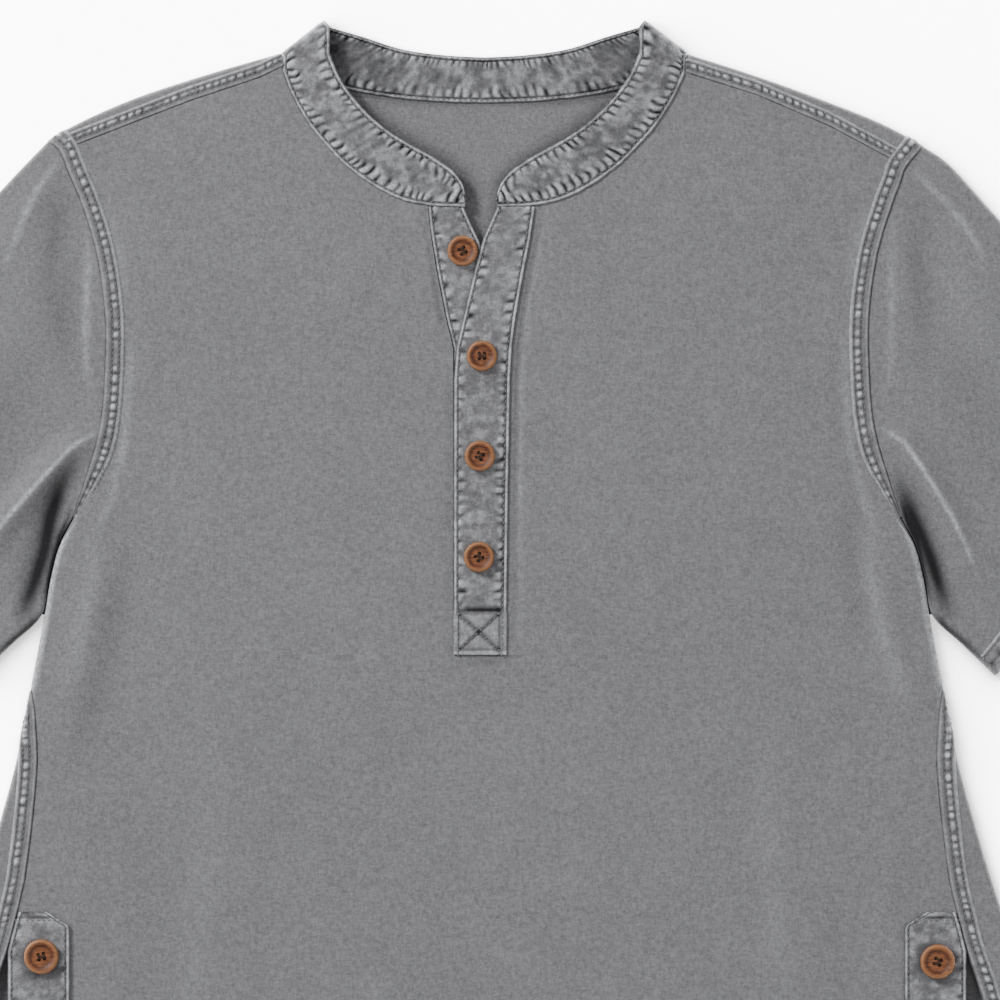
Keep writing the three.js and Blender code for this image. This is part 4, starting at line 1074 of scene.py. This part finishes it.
def underarm_seam_shade(side, word):
    """The seam's spare cloth in the slit between the body's fold and the sleeve's, all in one tone of painted
    shade.
    """
    rows = []
    under_x, under_y = zip(*SLEEVE_UNDER_FOLD[::-1], ARMHOLE[0])
    for y in np.linspace(SPARE["low_y"], SPARE["high_y"], 60):
        edge = float(half_width(y))
        lap = mix(SPARE["end_lap"], SPARE["lap"], min((y - SPARE["low_y"]) / SPARE["taper"], 1))
        far = max(np.interp(y, under_y, under_x), edge) + lap
        x = side * np.linspace(edge - SPARE["lap"], far, 5)
        rows.append(np.stack([x, np.full_like(x, y), np.full_like(x, SPARE["height"])], axis=-1))
    grid = np.array(rows)
    # Painted shade: the whole strip is one dark tone
    shaded = np.full(grid.shape[:2], SPARE["tone"])
    return keep(shell("underarm_seam_shade_" + word, grid, SLEEVE, SPARE["wall"], wear_and_painted_light=shaded), "sleeve_cloth")


def sleeve_hem(side, word, plan):
    """The turned hem: a band round the cuff's upper face, with two rows of stitches inside it."""
    length = np.linalg.norm(plan(0.5, 0.5) - plan(1.0, 0.5)) * 2
    out = np.linspace(1 - SLEEVE_HEM["width"] / length, 1.0, 27)
    down = np.linspace(0.016, 0.984, 200)
    grid = np.stack([sleeve_top(side, plan, out, np.full_like(out, share)) for share in down])
    s, w, width = along_and_across(grid)
    relief, wear_and_painted_light = hem_relief(s, w, width, SLEEVE_HEM, 61, 60 + side)
    relief += 0.14 * noise(s / 8, w / 6, 63)
    wear_and_painted_light += 0.2 * noise(s / 6, w / 4, 64)
    STITCH_LINES["sleeve"] += [line_at(grid, relief, row) for row in SLEEVE_HEM["rows"]]
    return keep(shell("sleeve_hem_" + word, grid, SLEEVE, TRIM_WALL, relief, wear_and_painted_light), "sleeve_cloth")


# Felled seams
ACROSS = np.linspace(0, FELL_WIDTH, 25)
OVERHANG = 0.5
ARMHOLE_NARROWEST, ARMHOLE_TAPER = 0.3, 40
SIDE_TOP_Y, SIDE_TAPER_Y, SIDE_TAPER = 6.0, 8, 30


def felled_band(name, grid, seed):
    """A felled seam on a grid of points, flatter where it is narrower than full width."""
    s, w, width = along_and_across(grid)
    relief, wear_and_painted_light = felled_relief(s, w, width, seed)
    relief = 0.06 + relief * np.clip(width / FELL_WIDTH, 0, 1) ** 2
    full = width[:, 0] > 0.6 * FELL_WIDTH
    scale = width[full].mean() / FELL_WIDTH
    STITCH_LINES["body"] += [line_at(grid[full], relief[full], row * scale) for row in BEAD_ROWS]
    return keep(shell(name, grid, BODY, TRIM_WALL, relief, wear_and_painted_light), "body_cloth")


def armhole_band(side, word):
    line = spaced(ARMHOLES[side][ARMHOLES[side][:, 1] > UNDERARM_Y + 1], 225)
    tangent = np.gradient(line, axis=0)
    tangent /= np.linalg.norm(tangent, axis=1, keepdims=True)
    inwards = np.stack([-np.abs(tangent[:, 1]), tangent[:, 0] * np.sign(tangent[:, 1])], axis=1)
    rise = np.clip((line[:, 1] - UNDERARM_Y) / ARMHOLE_TAPER, 0, 1)
    narrowing = mix(ARMHOLE_NARROWEST, 1.0, smooth(rise))
    plan = line[:, None, :] + inwards[:, None, :] * (narrowing[:, None] * ACROSS - OVERHANG)[..., None]
    edge = curve_table(SHOULDER[side], "x", "edge", plan[..., 0])
    inset = np.clip(edge - plan[..., 1], 0, FOLD_RADIUS)
    grid = on_cloth(side * plan[..., 0], np.minimum(plan[..., 1], edge))
    grid[..., 2] *= (1 + np.sin(np.arccos(1 - inset / FOLD_RADIUS))) / 2
    return felled_band("armhole_seam_" + word, grid, 31 + side)


def shoulder_band(side, word):
    shoulder = SHOULDER[side]
    rows = []
    for x in np.linspace(shoulder["x"][0] - 1.6, shoulder["seam_end"][0] - 1.5, 150):
        edge = float(curve_table(shoulder, "x", "edge", x))
        seam = HALF_TURN + edge - float(np.interp(x, shoulder["x"], shoulder["seam"])) - FOLD_RADIUS
        width = min(FELL_WIDTH - 2.5, seam - 1.5)
        reach = seam + OVERHANG - ACROSS / FELL_WIDTH * width
        rows.append(on_shoulder(side, reach, np.full_like(reach, x)))
    return felled_band("shoulder_seam_" + word, np.array(rows), 41 + side)


def side_band(side, word):
    rows = []
    for y in np.linspace(HEM_Y + 0.5, SIDE_TOP_Y, 340):
        end = float(seam_reach(y))
        width = min(FELL_WIDTH, end - 2.0)
        overhang = OVERHANG * min(1, (SIDE_TAPER_Y - y) / SIDE_TAPER)
        reach = end + overhang - ACROSS / FELL_WIDTH * width
        rows.append(on_side(side, reach, np.full_like(reach, y)))
    return felled_band("side_seam_" + word, np.array(rows), 51 + side)


# Hems of the body
def body_hem(name, reach_x, seed, point_at):
    across = np.linspace(0, BODY_HEM["width"], 20)
    y = HEM_Y + BODY_HEM["width"] - across
    grid = np.array([point_at(np.full_like(across, x), y) for x in np.linspace(-reach_x, reach_x, 300)])
    relief, wear_and_painted_light = hem_relief(*along_and_across(grid), BODY_HEM, seed, seed)
    STITCH_LINES["body"] += [line_at(grid, relief, row) for row in BODY_HEM["rows"]]
    return keep(shell(name, grid, BODY, TRIM_WALL, relief, wear_and_painted_light), "body_cloth")


def on_ground_sheet(x, y):
    """Just above the back's layer that lies on the floor."""
    return np.stack([x, y, np.full_like(x, CLOTH + 0.05)], axis=-1)


# Collar
FRONT_ROWS, BRIDGE_ROWS, BACK_ROWS = 190, 24, 108
COLLAR_WIDTH = 24.0
COLLAR_THREAD_AT = 2.3
COLLAR_OUTSIDE = {"reach": (11.5, 10.0), "pitch": (4.4, 5.0), "strength": 1.25, "uneven": 0.5}
COLLAR_INSIDE = {"reach": (9.5, 7.5), "pitch": (4.8, 3.7), "strength": 0.95, "uneven": 0.5}


def paired(edge, seam, count, dense=400):
    """Points of the edge line that face evenly spaced points of the seam line."""
    edge_line, seam_line = spline(edge, dense), spline(seam, dense)
    even = np.linspace(0, 1, dense)
    knots = [even[np.argmin(np.linalg.norm(seam_line - p, axis=1))] for p in seam]
    marks = [even[np.argmin(np.linalg.norm(edge_line - p, axis=1))] for p in edge]
    places = np.interp(np.linspace(0, 1, count), knots, marks)
    return np.stack([np.interp(places, even, edge_line[:, k]) for k in range(2)], axis=1)


def band_row(seam_point, edge_point, across, crown=0.0):
    """Points from the band's neck seam to its free edge, with a slight crown between."""
    row = mix(np.array(seam_point), np.array(edge_point), across[:, None])
    row[:, 2] += crown * np.sin(math.pi * across)
    return row


def collar_plan(side, points):
    """One half's points, set on the neck's middle line."""
    return np.array([(side * x + collar_centre(y), y) for x, y in points])


def collar_front(side, across):
    seam, edge = (collar_plan(side, COLLAR_FRONT[key][::-1]) for key in ("seam", "edge"))
    edge_line, seam_line = paired(edge, seam, FRONT_ROWS), spline(seam, FRONT_ROWS)
    lifts = COLLAR_FRONT["lift"][::-1]
    heights = np.interp(np.linspace(0, 1, FRONT_ROWS), np.linspace(0, 1, len(lifts)), lifts)
    rows = []
    for low, high, height in zip(seam_line, edge_line, heights):
        foot = cloth_top(*low) + COLLAR_SEAM_RISE
        row = band_row([*low, foot], [*high, height], across, COLLAR_CROWN)
        row[:, 2] = np.maximum(row[:, 2], foot)
        rows.append(row)
    return rows


def collar_fold(side, across):
    """Rows round the fold at the side of the neck, from the upper layer to the ground."""
    middle = np.array([COLLAR_BACK_X, 0])
    seam, edge = (np.array(COLLAR_FOLD[key]) * (side, 1) + middle for key in ("seam", "edge"))
    outwards = np.array([-(edge[1] - seam[1]), edge[0] - seam[0]]) * -side
    outwards /= np.linalg.norm(outwards)
    seam_radius, edge_radius = (float(cloth_top(*seam)) + COLLAR_SEAM_RISE) / 2, COLLAR_FOLD["lift"] / 2
    rows = []
    for angle in np.radians(np.linspace(90, -90, 26)):
        ends = [
            [*(base + outwards * radius * (math.cos(angle) - 1)), radius * (1 + math.sin(angle))]
            for base, radius in ((seam, seam_radius), (edge, edge_radius))
        ]
        rows.append(band_row(*ends, across, COLLAR_CROWN * (1 + math.sin(angle)) / 2))
    return rows


def collar_back(side, across, foot):
    """Rows on the ground, from the fold's last row to the middle of the back."""
    lines = []
    for key, start in (("seam", foot[0]), ("edge", foot[1])):
        lines.append(spline([start, *collar_plan(side, COLLAR_BACK[key][::-1])], BACK_ROWS + 1)[1:])
    return [band_row([*low, 0.0], [*high, 0.0], across) for low, high in zip(*lines)]


def collar_half(side, across):
    """Rows across the band from the front end to the middle of the back."""
    front, fold = collar_front(side, across), collar_fold(side, across)
    ends = collar_fold(side, np.array([0.0, 1.0]))[-1][:, :2]
    bridge = [mix(front[-1], fold[0], share) for share in np.linspace(0, 1, BRIDGE_ROWS + 2)[1:-1]]
    return np.array(front + bridge + fold + collar_back(side, across, ends))


def collar():
    across = edged_shares(COLLAR_WIDTH) * 1.03 - 0.03
    right, left = collar_half(RIGHT, across), collar_half(LEFT, across)
    grid = np.concatenate([right, left[::-1][1:]])
    s, w, width = along_and_across(grid)
    relief, wear_and_painted_light = band_relief(s, w, width, 71, **COLLAR_OUTSIDE)
    inner_relief, inner_wear_and_painted_light = band_relief(s, w, width, 91, **COLLAR_INSIDE)
    first, last = len(right) - BACK_ROWS, len(right) + BACK_ROWS - 1
    relief[first:last] = 0.0
    # Painted shade on the band's inside: a little all over, and more towards the sides of the neck
    inner_wear_and_painted_light -= 0.07 + 0.5 * np.clip((np.abs(grid[..., 0]) - 45) / 45, 0, 1)
    normal = normals_of(grid)
    outer = grid + normal * relief[..., None]
    inner = grid - normal * (BAND_CLOTH + 0.8 * inner_relief[..., None])
    points = np.concatenate([outer.reshape(-1, 3), inner.reshape(-1, 3)])
    shade = np.concatenate([wear_and_painted_light.ravel(), inner_wear_and_painted_light.ravel()])
    piece = mesh_object("collar_band", points, shell_faces(*grid.shape[:2], False), BAND, shade, sharp=60)
    for part in (slice(0, first), slice(last, None)):
        for at in (COLLAR_THREAD_AT, -COLLAR_THREAD_AT):
            STITCH_LINES["band"].append(line_at(grid[part], relief[part], at))
    seen_back = (inner - normal * 0.1)[first:last]
    STITCH_LINES["band"] += [seen_back[:, column] for column in (3, -4)]
    return keep(piece, "band_cloth", "collar")


# Placket and vent facings
def strip_grid(table, columns, rise=None, step=1.45):
    """Rows of points up a strip, at the given shares between its left and right edges."""
    heights = np.arange(table["y"][0], table["y"][-1] + 0.01, step)
    left = np.interp(heights, table["y"], table["left"])
    right = np.interp(heights, table["y"], table["right"])
    lift = np.interp(heights, table["y"], table["rise"]) if rise is None else np.full_like(heights, rise)
    x = mix(left[:, None], right[:, None], columns[None, :])
    y = np.broadcast_to(heights[:, None], x.shape)
    return on_cloth(x, y, lift[:, None])


BOX = {"low": PLACKET_BOTTOM_Y + 2.6, "high": PLACKET_BOTTOM_Y + 22.5, "left": -15.6, "right": 6.6}
STRIP_WIDTH, STRIP_TOP_Y, STRIP_TOP_RISE = 29.0, 273.6, -0.9
STRIP_THREAD_AT = 2.4
PLACKET_PUFFS = {"reach": (7.5, 8.5), "pitch": (6.6, 5.6), "strength": 1.05, "crumpled": 0.6}
FACING_PUFFS = {"reach": (7, 7), "pitch": (8.0, 8.0), "strength": 0.75, "crumpled": 0.75}


def strip_stitches(grid, relief):
    """A row of stitches along each edge of a strip."""
    STITCH_LINES["band"] += [line_at(grid, relief, at) for at in (STRIP_THREAD_AT, -STRIP_THREAD_AT)]


def box_relief(x, y, from_right, relief, wear_and_painted_light):
    """Flattens the strip's foot, and sinks the square and the crossed lines of stitches into it."""
    inside = np.clip(BOX["high"] + 1.5 - y, 0, 1)
    relief, wear_and_painted_light = mix(relief, 0.2, inside), mix(wear_and_painted_light, 0.22 + 0.12 * noise(x / 3, y / 3, 17), inside)
    across = (x - BOX["left"]) / (BOX["right"] - BOX["left"])
    up = (y - BOX["low"]) / (BOX["high"] - BOX["low"])
    within = np.clip(np.minimum(np.minimum(across, 1 - across), np.minimum(up, 1 - up)) * 12 + 1, 0, 1)
    between = np.abs(across - 0.5) < 0.53
    # The crossed stitches sink in, darkened with painted shade
    for slope in (across - up, across + up - 1):
        cross = groove(slope, 0, 0.95 / 16) * within
        relief -= 0.25 * cross
        wear_and_painted_light -= 0.95 * cross
    # Painted shade along the square's sides, under it, in the fold above it and along a line inside the
    # strip's right edge; a pale line at the strip's foot
    sides = (groove(x, BOX["left"], 0.6) + groove(x, BOX["right"], 0.6)) * (y < BOX["high"])
    fold = groove(y, BOX["high"] + 2.2, 1.5)
    wear_and_painted_light -= 0.55 * (sides + groove(y, BOX["low"], 0.6) * between)
    wear_and_painted_light += 0.6 * groove(y, PLACKET_BOTTOM_Y + 0.9, 0.8) - 1.1 * fold * between
    wear_and_painted_light -= 0.3 * groove(from_right, 3.2, 0.8) * (y < 190)
    return relief - 0.35 * fold, wear_and_painted_light


def placket_strip(name, table, node, seed):
    """One strip of the placket, which runs on under the collar's seam."""
    ends = {key: values + [values[-1]] for key, values in table.items()}
    ends["y"][-1] = STRIP_TOP_Y
    ends["rise"][-1] = STRIP_TOP_RISE
    grid = strip_grid(ends, edged_shares(STRIP_WIDTH))
    s, w, width = along_and_across(grid)
    relief, wear_and_painted_light = band_relief(s, w, width, seed, **PLACKET_PUFFS)
    relief *= 0.8
    if node == "placket_overlap":
        relief, wear_and_painted_light = box_relief(grid[..., 0], grid[..., 1], width - w, relief, wear_and_painted_light)
    strip_stitches(grid, relief)
    return keep(shell(name, grid, BAND, CLOTH, relief, wear_and_painted_light), "band_cloth", node)


def placket_box():
    """The square and the crossed lines of stitches at the placket's foot."""
    low, high = BOX["low"], BOX["high"]
    corners = [(BOX["left"], low), (BOX["right"], low), (BOX["right"], high), (BOX["left"], high)]
    for start, end in ((0, 1), (2, 3), (0, 2), (1, 3)):
        line = np.linspace(corners[start], corners[end], 24)
        STITCH_LINES["band"].append(on_cloth(line[:, 0], line[:, 1], OVERLAP["rise"][0] + 0.1))


CORNER_CUT, CORNER_WIDTH = 8.5, 13.0
FACING_OUTER = {
    "y": [HEM_Y, VENT_TOP_Y, FACING_TOP_Y - 6, FACING_TOP_Y],
    "x": [VENT_EDGE_X, VENT_EDGE_X, VENT_EDGE_X - 4, VENT_EDGE_X - 6],
}
FACING_TOP_STREAKS = [(1.1, 0.9, 0.7), (0.0, 0.5, -0.5), (3.4, 0.8, -0.6), (5.0, 0.9, 0.45)]
# A painted shadow round the vent's button: its place, reach and tone
VENT_BUTTON_SHADE = {"x": 246.2, "y": -142, "radius": 11.5, "tone": -0.4}


def vent_facing(side, word):
    """A strip beside a vent, with the top of its inner edge cut off at a slant."""
    inner, corner = VENT_EDGE_X - FACING_WIDTH, FACING_TOP_Y - CORNER_CUT
    heights = [HEM_Y, VENT_TOP_Y, corner, corner + 0.4, FACING_TOP_Y]
    near = [inner] * 4 + [inner + CORNER_WIDTH]
    far = list(np.interp(heights, FACING_OUTER["y"], FACING_OUTER["x"]))
    if side == RIGHT:
        near, far = [-x for x in far], [-x for x in near]
    grid = strip_grid({"y": heights, "left": near, "right": far}, edged_shares(FACING_WIDTH), rise=1.5)
    s, w, width = along_and_across(grid)
    relief, wear_and_painted_light = band_relief(s, w, width, 111 + side, **FACING_PUFFS)
    relief *= 0.6
    wear_and_painted_light += streaks(FACING_TOP_Y - grid[..., 1], FACING_TOP_STREAKS)
    # Painted shadow round the button
    shade = VENT_BUTTON_SHADE
    beside = np.hypot(np.abs(grid[..., 0]) - shade["x"], grid[..., 1] - shade["y"])
    wear_and_painted_light += shade["tone"] * np.exp(-((beside / shade["radius"]) ** 6))
    strip_stitches(grid, relief)
    STITCH_LINES["band"].append(grid[-4] + np.array([0, 0, 0.45]))
    piece = shell("vent_facing_panel_" + word, grid, BAND, CLOTH, relief, wear_and_painted_light)
    return keep(piece, "band_cloth", "vent_facing_" + word)


# Buttons: the turned profile as shares of radius and thickness, with its tone: a paler rim above 0, painted
# shade below 0
BUTTON_PROFILE = [
    (0.0, 0.0, 0), (0.78, 0.0, 0), (0.9, 0.1, 0), (0.985, 0.3, 0), (1.0, 0.5, 0.1), (0.985, 0.74, 0.5),
    (0.93, 0.92, 1), (0.86, 1.0, 0.9), (0.78, 0.98, 0.3), (0.7, 0.88, -0.25), (0.62, 0.74, -0.7),
    (0.56, 0.68, -0.3), (0.4, 0.66, 0.1), (0.2, 0.67, 0.15), (0.0, 0.67, 0.15),
]
FACE_HEIGHT = BUTTON_PROFILE[-1][1]
HOLE_RADIUS, HOLE_SPACING, DRILL_LENGTH = 0.95, 1.45, 30
THREAD_ARCH, THREAD_SINK = 0.75, 0.35


def turned_disc(name, radius, thickness, sides=56):
    """A closed solid of revolution on the button's profile."""
    points, wear_and_painted_light, rows = [], [], []
    for share, height, shade in BUTTON_PROFILE:
        on_axis = share == 0
        count = 1 if on_axis else sides
        rows.append([len(points)] * sides if on_axis else list(range(len(points), len(points) + sides)))
        for k in range(count):
            angle = 2 * math.pi * k / sides
            out = radius * share
            points.append((out * math.cos(angle), out * math.sin(angle), height * thickness))
        wear_and_painted_light += [shade] * count
    faces = []
    for low, high in zip(rows, rows[1:]):
        for k in range(sides):
            n = (k + 1) % sides
            faces.append(list(dict.fromkeys([low[k], low[n], high[n], high[k]])))
    mesh = bpy.data.meshes.new(name)
    mesh.from_pydata((np.array(points) * MM).tolist(), [], faces)
    add_wear_and_painted_light(mesh, wear_and_painted_light)
    return in_scene(name, mesh)


def drill_holes(disc):
    bpy.ops.mesh.primitive_cylinder_add(vertices=16, radius=HOLE_RADIUS * MM, depth=DRILL_LENGTH * MM)
    drill = bpy.context.active_object
    for across, up in ((1, 1), (1, -1), (-1, 1), (-1, -1)):
        drill.location = (across * HOLE_SPACING * MM, up * HOLE_SPACING * MM, 0)
        cut = disc.modifiers.new("hole", "BOOLEAN")
        cut.object, cut.operation, cut.solver = drill, "DIFFERENCE", "EXACT"
        bpy.context.view_layer.objects.active = disc
        bpy.context.view_layer.update()
        bpy.ops.object.modifier_apply(modifier="hole")
    bpy.data.objects.remove(drill)


def thread_paths(face):
    """The sewing thread's three arches between the holes, above the button's sunk face."""
    t = np.linspace(0, 1, 9)
    bow = np.sin(math.pi * t)
    height = face + THREAD_ARCH * bow**0.5 - THREAD_SINK * (1 - bow)
    ends = (((1, 1), (-1, 1)), ((1, -1), (-1, -1)), ((1, 1), (-1, -1)))
    return [
        np.stack([mix(ax, bx, t) * HOLE_SPACING, mix(ay, by, t) * HOLE_SPACING, height], axis=1)
        for (ax, ay), (bx, by) in ends
    ]


def button(node, sizes, turn):
    low, high = (Vector(corner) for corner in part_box(node))
    seat = Vector(((low.x + high.x) / 2, (low.y + high.y) / 2, low.z))
    spin = Matrix.Rotation(turn, 3, "Z")
    disc = turned_disc("turned_" + node, sizes["radius"], sizes["thickness"])
    drill_holes(disc)
    dress(disc.data, WOOD, 38)
    disc.data.transform(Matrix.LocRotScale(seat, spin, None))
    disc.data.update()
    keep(disc, "button", node)
    paths = thread_paths(sizes["thickness"] * FACE_HEIGHT)
    placed = [path @ np.array(spin).T + np.array(seat) / MM for path in paths]
    thread = stitch("thread_" + node, placed, pitch=0.5, length=0.95, radius=0.4, thread=BUTTON_THREAD)
    keep(thread, "button")


# The photograph's frame: straight down on the laid shirt
VIEW_WIDTH = 550.0
VIEW_CENTRE = (7.15, 111.1)
CAMERA_HEIGHT = 2600.0
SENSOR_WIDTH = 36.0

# The lights: place in metres, size and power, all aimed at one place on the shirt
LIGHTS = {"key": ((-2.6, 2.2, 1.8), 0.9, 138), "fill": ((1.6, -0.9, 2.0), 1.8, 9)}
AIM = (0, 0.1, 0)
FLOOR_SIZE = 12


def camera():
    data = bpy.data.cameras.new("camera")
    data.sensor_fit = "HORIZONTAL"
    data.sensor_width = SENSOR_WIDTH
    data.lens = SENSOR_WIDTH * (CAMERA_HEIGHT - LAID_HEIGHT) / VIEW_WIDTH
    data.clip_start, data.clip_end = 0.05, 50
    eye = in_scene("camera", data)
    eye.location = [value * MM for value in (*VIEW_CENTRE, CAMERA_HEIGHT)]
    bpy.context.scene.camera = eye


def area_light(name, place, size, power):
    data = bpy.data.lights.new(name, "AREA")
    data.shape, data.size, data.energy = "DISK", size, power
    lamp = in_scene(name, data)
    lamp.location = place
    lamp.rotation_euler = (Vector(AIM) - Vector(place)).to_track_quat("-Z", "Y").to_euler()


def studio():
    bpy.ops.mesh.primitive_plane_add(size=FLOOR_SIZE)
    floor = bpy.context.active_object
    floor.name = "floor"
    floor.data.materials.append(floor_with_painted_shadow("floor_paper"))
    world = bpy.data.worlds.new("studio")
    bpy.context.scene.world = world
    world.use_nodes = True
    sky = world.node_tree.nodes["Background"]
    sky.inputs["Color"].default_value = (1, 1, 1, 1)
    sky.inputs["Strength"].default_value = 0.5
    for name, (place, size, power) in LIGHTS.items():
        area_light(name, place, size, power)


def build():
    camera()
    front = body_front()
    back = body_back()
    front_trim, back_trim = [], []
    for side, word in SIDES:
        panel, plan = sleeve(side, word)
        hem = sleeve_hem(side, word, plan)
        spare = underarm_seam_shade(side, word)
        front_trim.append(armhole_band(side, word))
        back_trim += [shoulder_band(side, word), side_band(side, word)]
        facing = vent_facing(side, word)
    front_trim.append(body_hem("front_hem", VENT_EDGE_X - FACING_WIDTH - 1, 121, on_cloth))
    back_trim.append(body_hem("back_hem", 292.0, 131, on_ground_sheet))
    band = collar()
    for name, table, node, seed in (
        ("placket_upper", OVERLAP, "placket_overlap", 81),
        ("placket_lower", UNDERLAP, "placket_underlap", 87),
    ):
        strip = placket_strip(name, table, node, seed)
    placket_box()
    for k, (node, sizes) in enumerate(BUTTONS.items()):
        button(node, sizes, turn=0.5 + 1.1 * k)
    for where, lines in STITCH_LINES.items():
        keep(stitch("stitches_" + where, lines), where + "_cloth")
    studio()


build()
